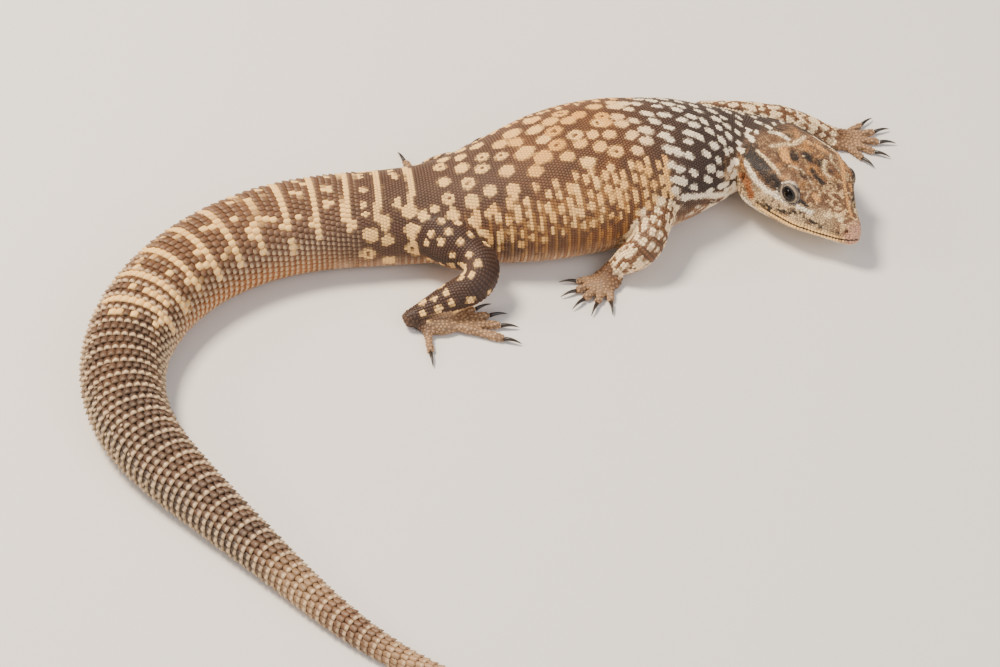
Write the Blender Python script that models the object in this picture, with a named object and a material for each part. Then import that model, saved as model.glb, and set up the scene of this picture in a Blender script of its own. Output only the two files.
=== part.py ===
"""Ackie monitor lying on a floor with its head turned to its right.

Run with: blender --background --python part.py
Working units are millimetres; each mesh is turned to metres when it is made.
X runs from tail to head, Y away from the side that is seen first, Z up.
The spine is a curve on the floor, measured backwards; the snout tip is at SNOUT_START.
"""
import math

import bmesh
import bpy
import numpy as np
from mathutils import Matrix, Vector

MM = 0.001
GAP = 0.3                    # between two pieces that touch

# Spine: distance along it, and the heading there in degrees from +X.
SNOUT_START = 3.0
SNOUT_PLACE = (103.15, 49.85)
SPINE_HEADINGS = (
    (3, -54), (42, -54), (46.5, -38.7), (51, -21.1), (56, -2.9), (62, 14.4), (70, 19.4),
    (79, 19), (93, 18.6), (108, 19), (132, 14), (152, 8), (172, 6), (188, 13), (204, 26),
    (220, 40), (237, 56), (254, 73), (268, 90), (283, 107), (298, 123), (317, 133), (342, 134),
    (363, 134), (382, 138), (401, 147), (420, 158), (438, 170), (456, 182), (476, 190),
    (496, 186), (519, 172),
)
SPINE_STEP = 0.5

# Cuts between the lengths of the body, as distances along the spine.
HEAD_LENGTH = 39.0
HEAD_END = SNOUT_START + HEAD_LENGTH
NECK_END = 62.0
VENT = 172.0
TAIL_CUTS = (VENT, 219.0, 266.0, 312.0, 358.0, 424.0, 516.0)

# Body sections: distance along the spine, half width, underside, back (heights).
BODY_SECTIONS = (
    (42, 13.4, 2.6, 22.0), (50, 12.8, 2.2, 22.4), (57, 13.8, 1.8, 24.4), (64, 16.2, 1.0, 27.6),
    (74, 19.6, 0.0, 31.2), (84, 22.4, -0.8, 32.8), (93, 24.6, -1.2, 33.8), (103, 25.6, -1.4, 34.0),
    (113, 25.0, -1.4, 33.4), (125, 22.8, -1.2, 31.2), (136, 19.6, -1.0, 28.6),
    (147, 16.6, -0.9, 26.0), (158, 15.0, -0.9, 24.8), (174, 14.4, -0.9, 24.4),
    (194, 14.0, -0.9, 24.0), (224, 13.2, -0.8, 22.4), (256, 12.2, -0.7, 20.0),
    (284, 10.8, -0.6, 17.4), (312, 8.8, -0.6, 14.4), (339, 6.6, -0.5, 11.2), (364, 4.9, -0.4, 8.6),
    (389, 3.8, -0.3, 6.8), (414, 2.9, -0.3, 5.2), (444, 2.0, -0.2, 3.8), (474, 1.4, -0.2, 2.7),
    (499, 0.95, -0.1, 1.9), (519, 0.55, 0.0, 1.2),
)
WIDEST_LEVEL = 0.42          # height of the widest place, as a share of the section
ROUND_TOP = 2.2              # exponents of the superellipse above and below that level
ROUND_BELOW = 2.6
TORSO_RINGS = 25
TORSO_SIDES = 32

# Head: nose-up pitch, roll (far side down), both eased out along the neck.
HEAD_PITCH = math.radians(5.0)
HEAD_ROLL = math.radians(-12.9)
JAW_LIFT = 2.4               # lifts the rolled head clear of the floor
HEAD_POSE_END = 58.0         # the head's pitch and roll have eased out here

# Head profiles against the distance behind the snout tip: half widths and heights.
HEAD_X = (0.6, 1.9, 4.2, 7.4, 12.1, 15.8, 20.0, 23.7, 27.9, 32.6, 36.3, 39.0)
CROWN_Z = (6.2, 8.1, 9.6, 11.1, 13.4, 15.3, 17.1, 18.2, 19.1, 19.6, 19.8, 19.8)
BROW_Y = (1.1, 2.2, 3.2, 4.4, 6.8, 9.3, 11.0, 11.7, 12.8, 13.8, 13.8, 13.2)
BROW_Z = (5.7, 7.2, 8.6, 10.1, 12.4, 14.7, 16.3, 16.7, 16.7, 16.5, 16.4, 16.4)
CHEEK_Y = (1.5, 2.9, 4.1, 5.6, 8.4, 10.8, 12.5, 14.0, 15.8, 17.2, 16.8, 15.6)
CHEEK_Z = (4.9, 5.7, 6.7, 7.7, 9.2, 10.8, 11.5, 11.3, 11.1, 10.7, 10.8, 11.1)
LIP_Y = (1.5, 3.0, 4.3, 6.0, 9.1, 11.8, 13.5, 15.1, 16.6, 17.4, 16.8, 15.5)
LIP_Z = (4.0, 3.9, 3.9, 4.0, 4.2, 4.5, 4.8, 5.5, 6.4, 7.0, 7.4, 7.8)
JAW_Y = (1.1, 2.3, 3.5, 5.2, 8.1, 10.6, 12.2, 13.5, 14.8, 15.4, 14.5, 13.2)
JAW_Z = (2.8, 1.8, 1.3, 1.1, 1.1, 1.2, 1.3, 1.5, 1.7, 2.0, 2.3, 2.7)
CHIN_Z = (2.4, 1.1, 0.4, 0.0, 0.0, 0.0, 0.0, 0.0, 0.0, 0.1, 0.3, 0.5)
SPAN_ROWS = (5, 4, 4, 3, 3)  # rows between crown, brow, cheek, lip, jaw and chin
LIP_GAP = 0.45               # half height of the mouth line's groove
MOUTH_DEPTH = 0.7
MOUTH_CORNER = 26.0

EYE_X = 19.8
EYE_Y = 10.3
EYE_Z = 12.1
EYE_RADIUS = 3.0
LID_THICK = 0.6
LID_OPENING = (2.15, 1.65)   # half length and half height of the gap between the lids
EAR_PLACE = (35.5, 16.3, 10.1)
EAR_SIZE = (1.3, 1.7, 2.3)
NOSTRIL_PLACE = (2.6, 3.2, 6.4)
NOSTRIL_SIZE = (0.95, 1.0, 0.8)

# Tail whorls: distance apart and height of the keels, along the tail.
WHORL_PITCH = ((172, 5.4), (248, 5.6), (328, 5.2), (398, 4.8), (519, 4.6))
KEEL_HEIGHT = ((172, 0.8), (213, 1.4), (298, 1.5), (368, 1.0), (428, 0.6), (519, 0.15))
KEEL_REACH = 0.28            # how far a keel points back over the next whorl
WHORL_STEP = 0.5             # length of the steep rear face of a whorl
TAIL_SIDES = (20, 20, 20, 20, 16, 12)

# Legs: joints (X, Y, Z) of root, middle joint and end, radii and the bend's radius.
LEGS = {
    "front_right": ((44.15, 67.45, 15.0), (41.95, 48.05, 11.0), (31.85, 45.45, 4.0)),
    "front_left": ((58.35, 97.45, 14.5), (84.35, 104.45, 10.0), (100.15, 105.95, 3.4)),
    "rear_right": ((-21.85, 53.25, 13.5), (-1.85, 34.25, 12.5), (-25.85, 25.85, 3.9)),
    "rear_left": ((-25.35, 68.25, 12.5), (-2.65, 90.45, 12.5), (-27.65, 83.45, 3.9)),
}
LEG_SHARES = (0.0, 0.45, 0.8, 1.4, 2.0)      # shares of the leg where the radii hold
ARM_RADII = (7.8, 7.2, 5.6, 5.0, 3.1)
THIGH_RADII = (9.0, 8.0, 5.7, 5.0, 3.2)
BEND_RADIUS = 6.4
LEG_SIDES = 12

# Feet: heading of the middle, then each digit's angle from it, its length and its radius.
HAND_DIGITS = ((46, 6.4, 1.35), (22, 8.2, 1.4), (0, 9.0, 1.45), (-22, 8.4, 1.4), (-46, 6.6, 1.3))
FOOT_DIGITS = ((34, 8.0, 1.4), (18, 11.0, 1.5), (3, 14.0, 1.55), (-12, 16.0, 1.55), (-76, 10.0, 1.4))
FOOT_HEADINGS = {"front_right": 228.0, "front_left": -3.0, "rear_right": -6.0, "rear_left": 40.0}
DIGIT_REACH = {"front_right": 0.76}          # the right hand's digits are drawn in
PALM_HALF = {"front": (5.4, 4.7, 2.6), "rear": (7.6, 5.0, 2.9)}
PALM_AHEAD = {"front": 3.4, "rear": 5.6}
CLAW_LENGTH = {"front": 5.0, "rear": 5.2}
CLAW_ROOT = 0.85


def smooth(x, stations, values):
    """Monotone cubic through the stations, flat beyond its ends."""
    xs = np.asarray(stations, float)
    ys = np.asarray(values, float)
    x = np.clip(x, xs[0], xs[-1])
    step = np.diff(xs)
    slope = np.diff(ys) / step
    tangent = np.zeros(len(xs))
    for i in range(1, len(xs) - 1):
        if slope[i - 1] * slope[i] > 0:
            before = 2 * step[i] + step[i - 1]
            after = step[i] + 2 * step[i - 1]
            tangent[i] = (before + after) / (before / slope[i - 1] + after / slope[i])
    tangent[0] = slope[0]
    tangent[-1] = slope[-1]
    i = np.clip(np.searchsorted(xs, x, side="right") - 1, 0, len(step) - 1)
    t = (x - xs[i]) / step[i]
    rise = ys[i] * (1 + 2 * t) * (1 - t) ** 2 + ys[i + 1] * t * t * (3 - 2 * t)
    return rise + step[i] * (tangent[i] * t * (1 - t) ** 2 - tangent[i + 1] * t * t * (1 - t))


def table(x, rows, column=1):
    """Value of one column of a station table at x."""
    return smooth(x, [row[0] for row in rows], [row[column] for row in rows])


def ease(x, low, high):
    """Smooth step from 0 at low to 1 at high."""
    t = np.clip((x - low) / (high - low), 0.0, 1.0)
    return t * t * (3 - 2 * t)


def head_share(s):
    """Share of the head's pitch and roll that holds at s: 1 on the head, 0 past the neck."""
    return 1.0 - ease(s, HEAD_END, HEAD_POSE_END)


def spine_curve():
    """Places along the spine, one for each SPINE_STEP, level with the floor past the neck."""
    along = np.arange(SNOUT_START, SPINE_HEADINGS[-1][0] + SPINE_STEP / 2, SPINE_STEP)
    heading = np.radians(table(along, SPINE_HEADINGS))
    pitch = HEAD_PITCH * head_share(along)
    direction = np.stack([np.cos(heading) * np.cos(pitch), np.sin(heading) * np.cos(pitch),
                          np.sin(pitch)], axis=1)
    middle = (direction[1:] + direction[:-1]) / 2 * SPINE_STEP
    places = np.zeros((len(along), 3))
    places[1:] = -np.cumsum(middle, axis=0)
    places[:, :2] += SNOUT_PLACE
    places[:, 2] += JAW_LIFT * head_share(along) - places[-1, 2]
    return along, places


SPINE_ALONG, SPINE_PLACES = spine_curve()


def frame(s):
    """Origin and the forward, left and up directions of the section plane at s."""
    heading = math.radians(float(table(s, SPINE_HEADINGS)))
    share = float(head_share(s))
    pitch = HEAD_PITCH * share
    roll = HEAD_ROLL * share
    forward = np.array([math.cos(heading) * math.cos(pitch),
                        math.sin(heading) * math.cos(pitch), math.sin(pitch)])
    level_left = np.array([-math.sin(heading), math.cos(heading), 0.0])
    level_up = np.cross(forward, level_left)
    left = level_left * math.cos(roll) + level_up * math.sin(roll)
    up = np.cross(forward, left)
    origin = np.array([np.interp(s, SPINE_ALONG, SPINE_PLACES[:, k]) for k in range(3)])
    return origin, forward, left, up


def place(s, section):
    """Section points (left, up) at s, in world coordinates, kept above the floor."""
    origin, forward, left, up = frame(s)
    points = origin + np.outer(section[:, 0], left) + np.outer(section[:, 1], up)
    points[:, 2] = np.maximum(points[:, 2], 0.0)
    return points


def body_section(s, angles, lift=0.0):
    """Points of the body's section at s, at angles from the back towards the left."""
    half_width = float(table(s, BODY_SECTIONS, 1))
    low = float(table(s, BODY_SECTIONS, 2))
    high = float(table(s, BODY_SECTIONS, 3))
    middle = low + WIDEST_LEVEL * (high - low)
    side = np.sin(angles)
    rise = np.cos(angles)
    half_height = np.where(rise > 0, high - middle, middle - low)
    power = np.where(rise > 0, ROUND_TOP, ROUND_BELOW)
    radius = (np.abs(side / half_width) ** power + np.abs(rise / half_height) ** power) ** (-1 / power)
    radius = radius + lift
    return np.stack([radius * side, middle + radius * rise], axis=1)


def head_controls(x):
    """The six control points of the head's left half section at x."""
    crown = (0.0, smooth(x, HEAD_X, CROWN_Z))
    brow = (smooth(x, HEAD_X, BROW_Y), smooth(x, HEAD_X, BROW_Z))
    cheek = (smooth(x, HEAD_X, CHEEK_Y), smooth(x, HEAD_X, CHEEK_Z))
    lip = (smooth(x, HEAD_X, LIP_Y), smooth(x, HEAD_X, LIP_Z))
    jaw = (smooth(x, HEAD_X, JAW_Y), smooth(x, HEAD_X, JAW_Z))
    chin = (0.0, smooth(x, HEAD_X, CHIN_Z))
    return np.array([crown, brow, cheek, lip, jaw, chin], float)


def half_curve(controls):
    """Rows of points down the left side, through the control points."""
    mirror = controls[1] * (-1, 1)
    mirror_end = controls[-2] * (-1, 1)
    points = np.vstack([mirror, controls, mirror_end])
    rows = []
    for span, count in enumerate(SPAN_ROWS):
        before, start, end, after = points[span:span + 4]
        for k in range(count):
            t = k / count
            rows.append(0.5 * ((2 * start) + (end - before) * t
                               + (2 * before - 5 * start + 4 * end - after) * t * t
                               + (3 * start - before - 3 * end + after) * t ** 3))
    rows.append(controls[-1])
    return np.array(rows)


def orbit_swell(x, half):
    """Push the rows near the eye out to the outer surface of the lids."""
    centre = np.array([EYE_Y, EYE_Z])
    outer = EYE_RADIUS + GAP + LID_THICK
    reach = outer ** 2 - (x - EYE_X) ** 2
    if reach <= 0:
        return half
    ring = math.sqrt(reach)
    offset = half - centre
    distance = np.hypot(offset[:, 0], offset[:, 1])
    scale = np.where((distance < ring) & (offset[:, 0] > 0), ring / np.maximum(distance, 0.2), 1.0)
    return centre + offset * scale[:, None]


def head_half(x):
    """Left half of the head's section at x, with the mouth's groove and the lids' swell."""
    half = half_curve(head_controls(x))
    lip = sum(SPAN_ROWS[:3])
    groove = MOUTH_DEPTH * (1.0 - float(ease(x, MOUTH_CORNER - 2.0, MOUTH_CORNER + 1.0)))
    edge = half[lip].copy()
    above = edge + np.array([0.0, LIP_GAP])
    below = edge - np.array([0.0, LIP_GAP])
    inner = edge - np.array([groove * float(ease(x, 0.0, 2.0)), 0.0])
    half = orbit_swell(x, half)
    return np.vstack([half[:lip], above, inner, below, half[lip + 1:]])


def full_ring(half):
    """Whole ring from its left half: down the left side and up the right side."""
    right = half[-2:0:-1] * (-1, 1)
    return np.vstack([half, right])


def mesh_object(name, points, faces, material):
    """New object from points in millimetres."""
    mesh = bpy.data.meshes.new(name)
    mesh.from_pydata([tuple(p * MM) for p in np.asarray(points, float)], [], faces)
    shell = bmesh.new()
    shell.from_mesh(mesh)
    bmesh.ops.recalc_face_normals(shell, faces=shell.faces)
    shell.to_mesh(mesh)
    shell.free()
    item = bpy.data.objects.new(name, mesh)
    bpy.context.scene.collection.objects.link(item)
    if material is not None:
        mesh.materials.append(material)
    mesh.shade_smooth()
    mesh.set_sharp_from_angle(angle=math.radians(40))
    return item


def lofted(name, rings, material, front_pole=None, rear_pole=None):
    """Closed skin over rings of equal count; each end is a flat cap or a pole."""
    count = len(rings[0])
    points = np.vstack(rings)
    faces = []
    for r in range(len(rings) - 1):
        for k in range(count):
            a = r * count + k
            b = r * count + (k + 1) % count
            faces.append((a, b, b + count, a + count))
    front = rings[0].mean(axis=0) if front_pole is None else np.asarray(front_pole, float)
    rear = rings[-1].mean(axis=0) if rear_pole is None else np.asarray(rear_pole, float)
    points = np.vstack([points, front, rear])
    front_index = len(points) - 2
    rear_index = len(points) - 1
    last = (len(rings) - 1) * count
    for k in range(count):
        n = (k + 1) % count
        faces.append((front_index, n, k))
        faces.append((rear_index, last + k, last + n))
    return mesh_object(name, points, faces, material)


def shifted(ring, s, distance):
    """A ring moved along the spine's direction at s; positive is towards the head."""
    forward = frame(s)[1]
    return ring + forward * distance


def apply_boolean(item, other, operation):
    """Boolean of item with another object, which is then removed."""
    tool = item.modifiers.new("cut", "BOOLEAN")
    tool.operation = operation
    tool.solver = "EXACT"
    tool.object = other
    settle(item)
    bpy.data.objects.remove(other)


def settle(item):
    """Turn an object's evaluated shape into its mesh and drop its modifiers."""
    graph = bpy.context.evaluated_depsgraph_get()
    mesh = bpy.data.meshes.new_from_object(item.evaluated_get(graph))
    item.modifiers.clear()
    item.data = mesh
    keep_largest(item)


def keep_largest(item):
    """Keep only the largest closed surface of a mesh."""
    shell = bmesh.new()
    shell.from_mesh(item.data)
    bmesh.ops.remove_doubles(shell, verts=shell.verts, dist=0.02 * MM)
    bmesh.ops.dissolve_degenerate(shell, edges=shell.edges, dist=0.02 * MM)
    unseen = set(shell.verts)
    groups = []
    while unseen:
        stack = [unseen.pop()]
        group = set(stack)
        while stack:
            for edge in stack.pop().link_edges:
                for vert in edge.verts:
                    if vert in unseen:
                        unseen.discard(vert)
                        group.add(vert)
                        stack.append(vert)
        groups.append(group)
    largest = max(groups, key=len)
    spare = [vert for vert in shell.verts if vert not in largest]
    bmesh.ops.delete(shell, geom=spare, context="VERTS")
    bmesh.ops.recalc_face_normals(shell, faces=shell.faces)
    shell.to_mesh(item.data)
    shell.free()
    item.data.shade_smooth()
    item.data.set_sharp_from_angle(angle=math.radians(40))


def ellipsoid(name, centre, half_sizes, turn=None, segments=12, rings=8):
    """Closed ellipsoid with its poles along its own Z."""
    mesh = bpy.data.meshes.new(name)
    shell = bmesh.new()
    bmesh.ops.create_uvsphere(shell, u_segments=segments, v_segments=rings, radius=1.0)
    size = Matrix.Diagonal(Vector((*half_sizes, 1.0)))
    pose = turn.to_4x4() if turn is not None else Matrix.Identity(4)
    move = Matrix.Translation(Vector(centre) * MM)
    bmesh.ops.transform(shell, matrix=move @ pose @ Matrix.Scale(MM, 4) @ size, verts=shell.verts)
    shell.to_mesh(mesh)
    shell.free()
    item = bpy.data.objects.new(name, mesh)
    bpy.context.scene.collection.objects.link(item)
    return item


def floor_slab():
    """Block whose top is the floor, to cut soles flat."""
    mesh = bpy.data.meshes.new("slab")
    shell = bmesh.new()
    bmesh.ops.create_cube(shell, size=1.0)
    pose = Matrix.Translation((0.0, 0.0, -10 * MM)) @ Matrix.Diagonal((0.6, 0.6, 20 * MM, 1.0))
    bmesh.ops.transform(shell, matrix=pose, verts=shell.verts)
    shell.to_mesh(mesh)
    shell.free()
    item = bpy.data.objects.new("slab", mesh)
    bpy.context.scene.collection.objects.link(item)
    return item


def paint(name, colour, roughness):
    """Principled material of one plain colour."""
    material = bpy.data.materials.new(name)
    material.use_nodes = True
    shader = material.node_tree.nodes["Principled BSDF"]
    shader.inputs["Base Color"].default_value = (*colour, 1.0)
    shader.inputs["Roughness"].default_value = roughness
    shader.inputs["Metallic"].default_value = 0.0
    return material


def head_matrix():
    """Rotation whose columns are the head's backward, right and up directions."""
    forward, left, up = frame(SNOUT_START)[1:]
    return Matrix((-forward, -left, up)).transposed()


def head_world(x, y, z):
    """World place of a point in the head: behind the tip, left of the middle, above the chin."""
    origin, forward, left, up = frame(SNOUT_START)
    return origin - forward * x + left * y + up * z


def head_ring(x):
    """Ring of the head at x behind the tip, in world coordinates."""
    ring = full_ring(head_half(x))
    points = np.array([head_world(x, y, z) for y, z in ring])
    points[:, 2] = np.maximum(points[:, 2], 0.0)
    return points


def head_stations():
    """Places of the head's rings, closest together at the eye and the tip."""
    tip = [0.6, 1.2, 2.0, 3.0, 4.2]
    snout = list(np.arange(5.8, EYE_X - 4.8, 1.7))
    eye = list(np.arange(EYE_X - 4.0, EYE_X + 4.1, 0.9))
    cheek = list(np.arange(EYE_X + 5.6, HEAD_LENGTH - 1.0, 1.9))
    return tip + snout + eye + cheek


def make_head(material):
    """Head with brows, lids, the line of the mouth, nostrils and ear cups."""
    rings = [head_ring(x) for x in head_stations()]
    rings.append(shifted(head_ring(HEAD_LENGTH), SNOUT_START, GAP / 2))
    tip = head_world(0.0, 0.0, 4.3)
    head = lofted("head", rings, material, front_pole=tip)
    turn = head_matrix()
    for side in (1, -1):
        slot = head_world(EYE_X, side * (EYE_Y + EYE_RADIUS), EYE_Z)
        opening = (LID_OPENING[0], EYE_RADIUS, LID_OPENING[1])
        apply_boolean(head, ellipsoid("opening", slot, opening, turn, 14, 8), "DIFFERENCE")
        eye = head_world(EYE_X, side * EYE_Y, EYE_Z)
        socket = [EYE_RADIUS + GAP] * 3
        apply_boolean(head, ellipsoid("socket", eye, socket, turn, 16, 10), "DIFFERENCE")
        ear = head_world(EAR_PLACE[0], side * EAR_PLACE[1], EAR_PLACE[2])
        apply_boolean(head, ellipsoid("ear", ear, EAR_SIZE, turn), "DIFFERENCE")
        nostril = head_world(NOSTRIL_PLACE[0], side * NOSTRIL_PLACE[1], NOSTRIL_PLACE[2])
        apply_boolean(head, ellipsoid("nostril", nostril, NOSTRIL_SIZE, turn, 10, 6), "DIFFERENCE")
    return head


def make_eyes(material):
    """Two eyeballs in their sockets."""
    for name, side in (("eye_left", 1), ("eye_right", -1)):
        centre = head_world(EYE_X, side * EYE_Y, EYE_Z)
        eye = ellipsoid(name, centre, [EYE_RADIUS] * 3, head_matrix(), 14, 10)
        eye.data.materials.append(material)
        eye.data.shade_smooth()


def make_neck(material, name="neck", swell=0.0):
    """Neck, from the head's last section to the body's own rounder ones; swell as below."""
    last_head = full_ring(head_half(HEAD_LENGTH))
    centre_z = last_head[:, 1].mean()
    angles = np.arctan2(last_head[:, 0], last_head[:, 1] - centre_z)
    rings = []
    stations = np.concatenate([[HEAD_END], np.arange(HEAD_END + 3.0, NECK_END - 1.0, 3.0), [NECK_END]])
    for s in stations:
        share = float(ease(s, HEAD_END, HEAD_POSE_END))
        section = last_head * (1 - share) + body_section(s, angles) * share
        outward = section - section.mean(axis=0)
        section = section + swell * outward / np.linalg.norm(outward, axis=1)[:, None]
        rings.append(place(s, section))
    rings[0] = shifted(rings[0], HEAD_END, swell - GAP / 2)
    rings[-1] = shifted(rings[-1], NECK_END, GAP / 2 - swell)
    return lofted(name, rings, material)


def make_torso(material, name="torso", swell=0.0):
    """Trunk from the neck to the vent; swell makes the cutter that clears the legs."""
    angles = np.linspace(0.0, 2 * math.pi, TORSO_SIDES, endpoint=False)
    stations = np.linspace(NECK_END, VENT, TORSO_RINGS)
    rings = [place(s, body_section(s, angles, swell)) for s in stations]
    rings[0] = shifted(rings[0], NECK_END, swell - GAP / 2)
    rings[-1] = shifted(rings[-1], VENT, GAP / 2 - swell)
    return lofted(name, rings, material)


def keel_weight(angles):
    """Full keels on the back and sides of the tail, none on its underside."""
    return ease(np.cos(angles), -0.75, -0.1)


def whorl_rings(start, end, sides):
    """Rings of one tail length: each whorl rises to keels at its rear edge, then steps down."""
    angles = np.linspace(0.0, 2 * math.pi, sides, endpoint=False)
    keel = np.where(np.arange(sides) % 2 == 0, 1.0, 0.05) * keel_weight(angles)
    length = end - start
    count = max(3, round(length / float(table((start + end) / 2, WHORL_PITCH))))
    pitch = length / count
    rings = []
    for k in range(count):
        front = start + k * pitch
        rear = front + pitch - WHORL_STEP
        height = float(table(rear, KEEL_HEIGHT))
        rings.append(place(front, body_section(front, angles)))
        edge = place(rear, body_section(rear, angles, height * keel))
        rings.append(edge - np.outer(keel * KEEL_REACH, frame(rear)[1]))
    rings.append(place(end, body_section(end, angles)))
    return rings


def make_tail(material):
    """Tail lengths, each a run of whorls."""
    for index, sides in enumerate(TAIL_SIDES):
        start = TAIL_CUTS[index]
        end = TAIL_CUTS[index + 1]
        rings = whorl_rings(start, end, sides)
        rings[0] = shifted(rings[0], start, -GAP / 2)
        if index < len(TAIL_SIDES) - 1:
            rings[-1] = shifted(rings[-1], end, GAP / 2)
        lofted(f"tail_{index + 1}", rings, material)


def filleted(points, radius, step=3.0):
    """Path through three joints with a round bend: places, directions and shares 0..2."""
    start, bend, end = (np.asarray(p, float) for p in points)
    before = (bend - start) / np.linalg.norm(bend - start)
    after = (end - bend) / np.linalg.norm(end - bend)
    turn = math.acos(float(np.clip(before @ after, -1.0, 1.0)))
    back_off = radius * math.tan(turn / 2)
    entry = bend - before * back_off
    inward = after - before * (before @ after)
    inward /= np.linalg.norm(inward)
    centre = entry + inward * radius
    path = []
    for t in np.linspace(0.0, 1.0, 4, endpoint=False):
        path.append((start + (entry - start) * t, before, 0.8 * t))
    for t in np.linspace(0.0, 1.0, 7):
        angle = turn * t
        spoke = -inward * math.cos(angle) + before * math.sin(angle)
        direction = before * math.cos(angle) + inward * math.sin(angle)
        path.append((centre + spoke * radius, direction, 0.8 + 0.4 * t))
    leave = path[-1][0]
    for t in np.linspace(0.25, 1.0, 4):
        path.append((leave + (end - leave) * t, after, 1.2 + 0.8 * t))
    return path


def leg_ring(centre, direction, radius, floor=True):
    """Ring around a leg, square to its direction."""
    side = np.cross(direction, (0.0, 0.0, 1.0))
    side /= np.linalg.norm(side)
    rise = np.cross(side, direction)
    angles = np.linspace(0.0, 2 * math.pi, LEG_SIDES, endpoint=False)
    points = centre + radius * (np.outer(np.cos(angles), side) + np.outer(np.sin(angles), rise))
    if floor:
        points[:, 2] = np.maximum(points[:, 2], 0.0)
    return points


def make_leg(leg, names, radii, material):
    """Upper and lower length of one leg, parted in the middle of its bend."""
    path = filleted(LEGS[leg], BEND_RADIUS)
    middle = len(path) // 2
    rings = []
    for centre, direction, share in path:
        rings.append(leg_ring(centre, direction, float(smooth(share, LEG_SHARES, radii))))
    direction = path[middle][1]
    upper = rings[:middle] + [rings[middle] - direction * GAP / 2]
    lower = [rings[middle] + direction * GAP / 2] + rings[middle + 1:]
    lower[-1] = lower[-1] - path[-1][1] * GAP / 2
    for name, rings in zip(names, (upper, lower)):
        length = lofted(name, rings, material)
        apply_boolean(length, make_torso(None, "clearance", GAP), "DIFFERENCE")
        if leg.startswith("front"):
            apply_boolean(length, make_neck(None, "clearance", GAP), "DIFFERENCE")


def shank_clearance(leg, radii):
    """Cutter that clears a foot from the lower leg folded over it."""
    path = filleted(LEGS[leg], BEND_RADIUS)
    rings = []
    for centre, direction, share in path[len(path) // 2:]:
        radius = float(smooth(share, LEG_SHARES, radii)) + GAP
        rings.append(leg_ring(centre, direction, radius, floor=False))
    return lofted("clearance", rings, None)


def digit_places(leg, digit):
    """Root and tip of a digit's flesh, its direction and its radius."""
    kind = leg.split("_")[0]
    side = 1 if leg.endswith("right") else -1
    digits = HAND_DIGITS if kind == "front" else FOOT_DIGITS
    angle, length, radius = digits[digit]
    ankle = np.asarray(LEGS[leg][2])
    heading = math.radians(FOOT_HEADINGS[leg])
    middle = np.array([math.cos(heading), math.sin(heading), 0.0])
    across = np.array([-math.sin(heading), math.cos(heading), 0.0]) * side
    turn = math.radians(angle)
    direction = middle * math.cos(turn) + across * math.sin(turn)
    half_length, half_width, _ = PALM_HALF[kind]
    ahead = half_length * 0.62 * math.cos(turn)
    aside = half_width * 0.72 * math.sin(turn) * 1.3
    if abs(angle) > 60:
        ahead = -half_length * 0.35
        aside = math.copysign(half_width * 0.45, turn)
    root = ankle + middle * (PALM_AHEAD[kind] + ahead) + across * aside
    root[2] = radius * 0.95
    tip = root + direction * length * DIGIT_REACH.get(leg, 1.0)
    tip[2] = radius * 0.8
    return root, tip, direction, radius


def digit_ring(centre, direction, radius, count=8):
    """Small ring square to a level direction."""
    across = np.array([-direction[1], direction[0], 0.0])
    across /= np.linalg.norm(across)
    angles = np.linspace(0.0, 2 * math.pi, count, endpoint=False) + math.pi / count
    rise = np.cross(across, direction)
    return centre + radius * (np.outer(np.cos(angles), across) + np.outer(np.sin(angles), rise))


def make_digit(leg, digit):
    """Flesh of one digit, swollen at its joints, with a flat end for the claw."""
    root, tip, direction, radius = digit_places(leg, digit)
    rings = []
    for t, size, arch in ((0.0, 0.95, 0.0), (0.3, 1.0, 0.35), (0.55, 0.88, 0.3), (0.8, 0.98, 0.1), (1.0, 0.8, 0.0)):
        centre = root + (tip - root) * t + np.array([0.0, 0.0, arch])
        rings.append(digit_ring(centre, direction, radius * size))
    return lofted(f"digit_{digit}", rings, None)


def make_foot(leg, name, material):
    """Palm or sole with its five digits, fused, and cut flat on the floor."""
    kind = leg.split("_")[0]
    ankle = np.asarray(LEGS[leg][2])
    heading = math.radians(FOOT_HEADINGS[leg])
    middle = np.array([math.cos(heading), math.sin(heading), 0.0])
    palm_centre = ankle + middle * PALM_AHEAD[kind]
    palm_centre[2] = PALM_HALF[kind][2] * 0.62
    turn = Matrix.Rotation(heading, 3, "Z")
    palm = ellipsoid(name, palm_centre, PALM_HALF[kind], turn, 12, 8)
    palm.data.materials.append(material)
    joiners = bpy.data.collections.new("joiners")
    for digit in range(5):
        joiners.objects.link(make_digit(leg, digit))
    path = filleted(LEGS[leg], BEND_RADIUS)
    direction = path[-1][1]
    radii = ARM_RADII if kind == "front" else THIGH_RADII
    stub = []
    for reach, size in ((GAP / 2, 1.0), (2.0, 0.98), (4.2, 0.72)):
        stub.append(leg_ring(ankle + direction * reach, direction, radii[-1] * size, floor=False))
    joiners.objects.link(lofted("stub", stub, None))
    tool = palm.modifiers.new("join", "BOOLEAN")
    tool.operation = "UNION"
    tool.solver = "EXACT"
    tool.operand_type = "COLLECTION"
    tool.collection = joiners
    settle(palm)
    for item in list(joiners.objects):
        bpy.data.objects.remove(item)
    bpy.data.collections.remove(joiners)
    apply_boolean(palm, floor_slab(), "DIFFERENCE")
    apply_boolean(palm, shank_clearance(leg, radii), "DIFFERENCE")
    return palm


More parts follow.
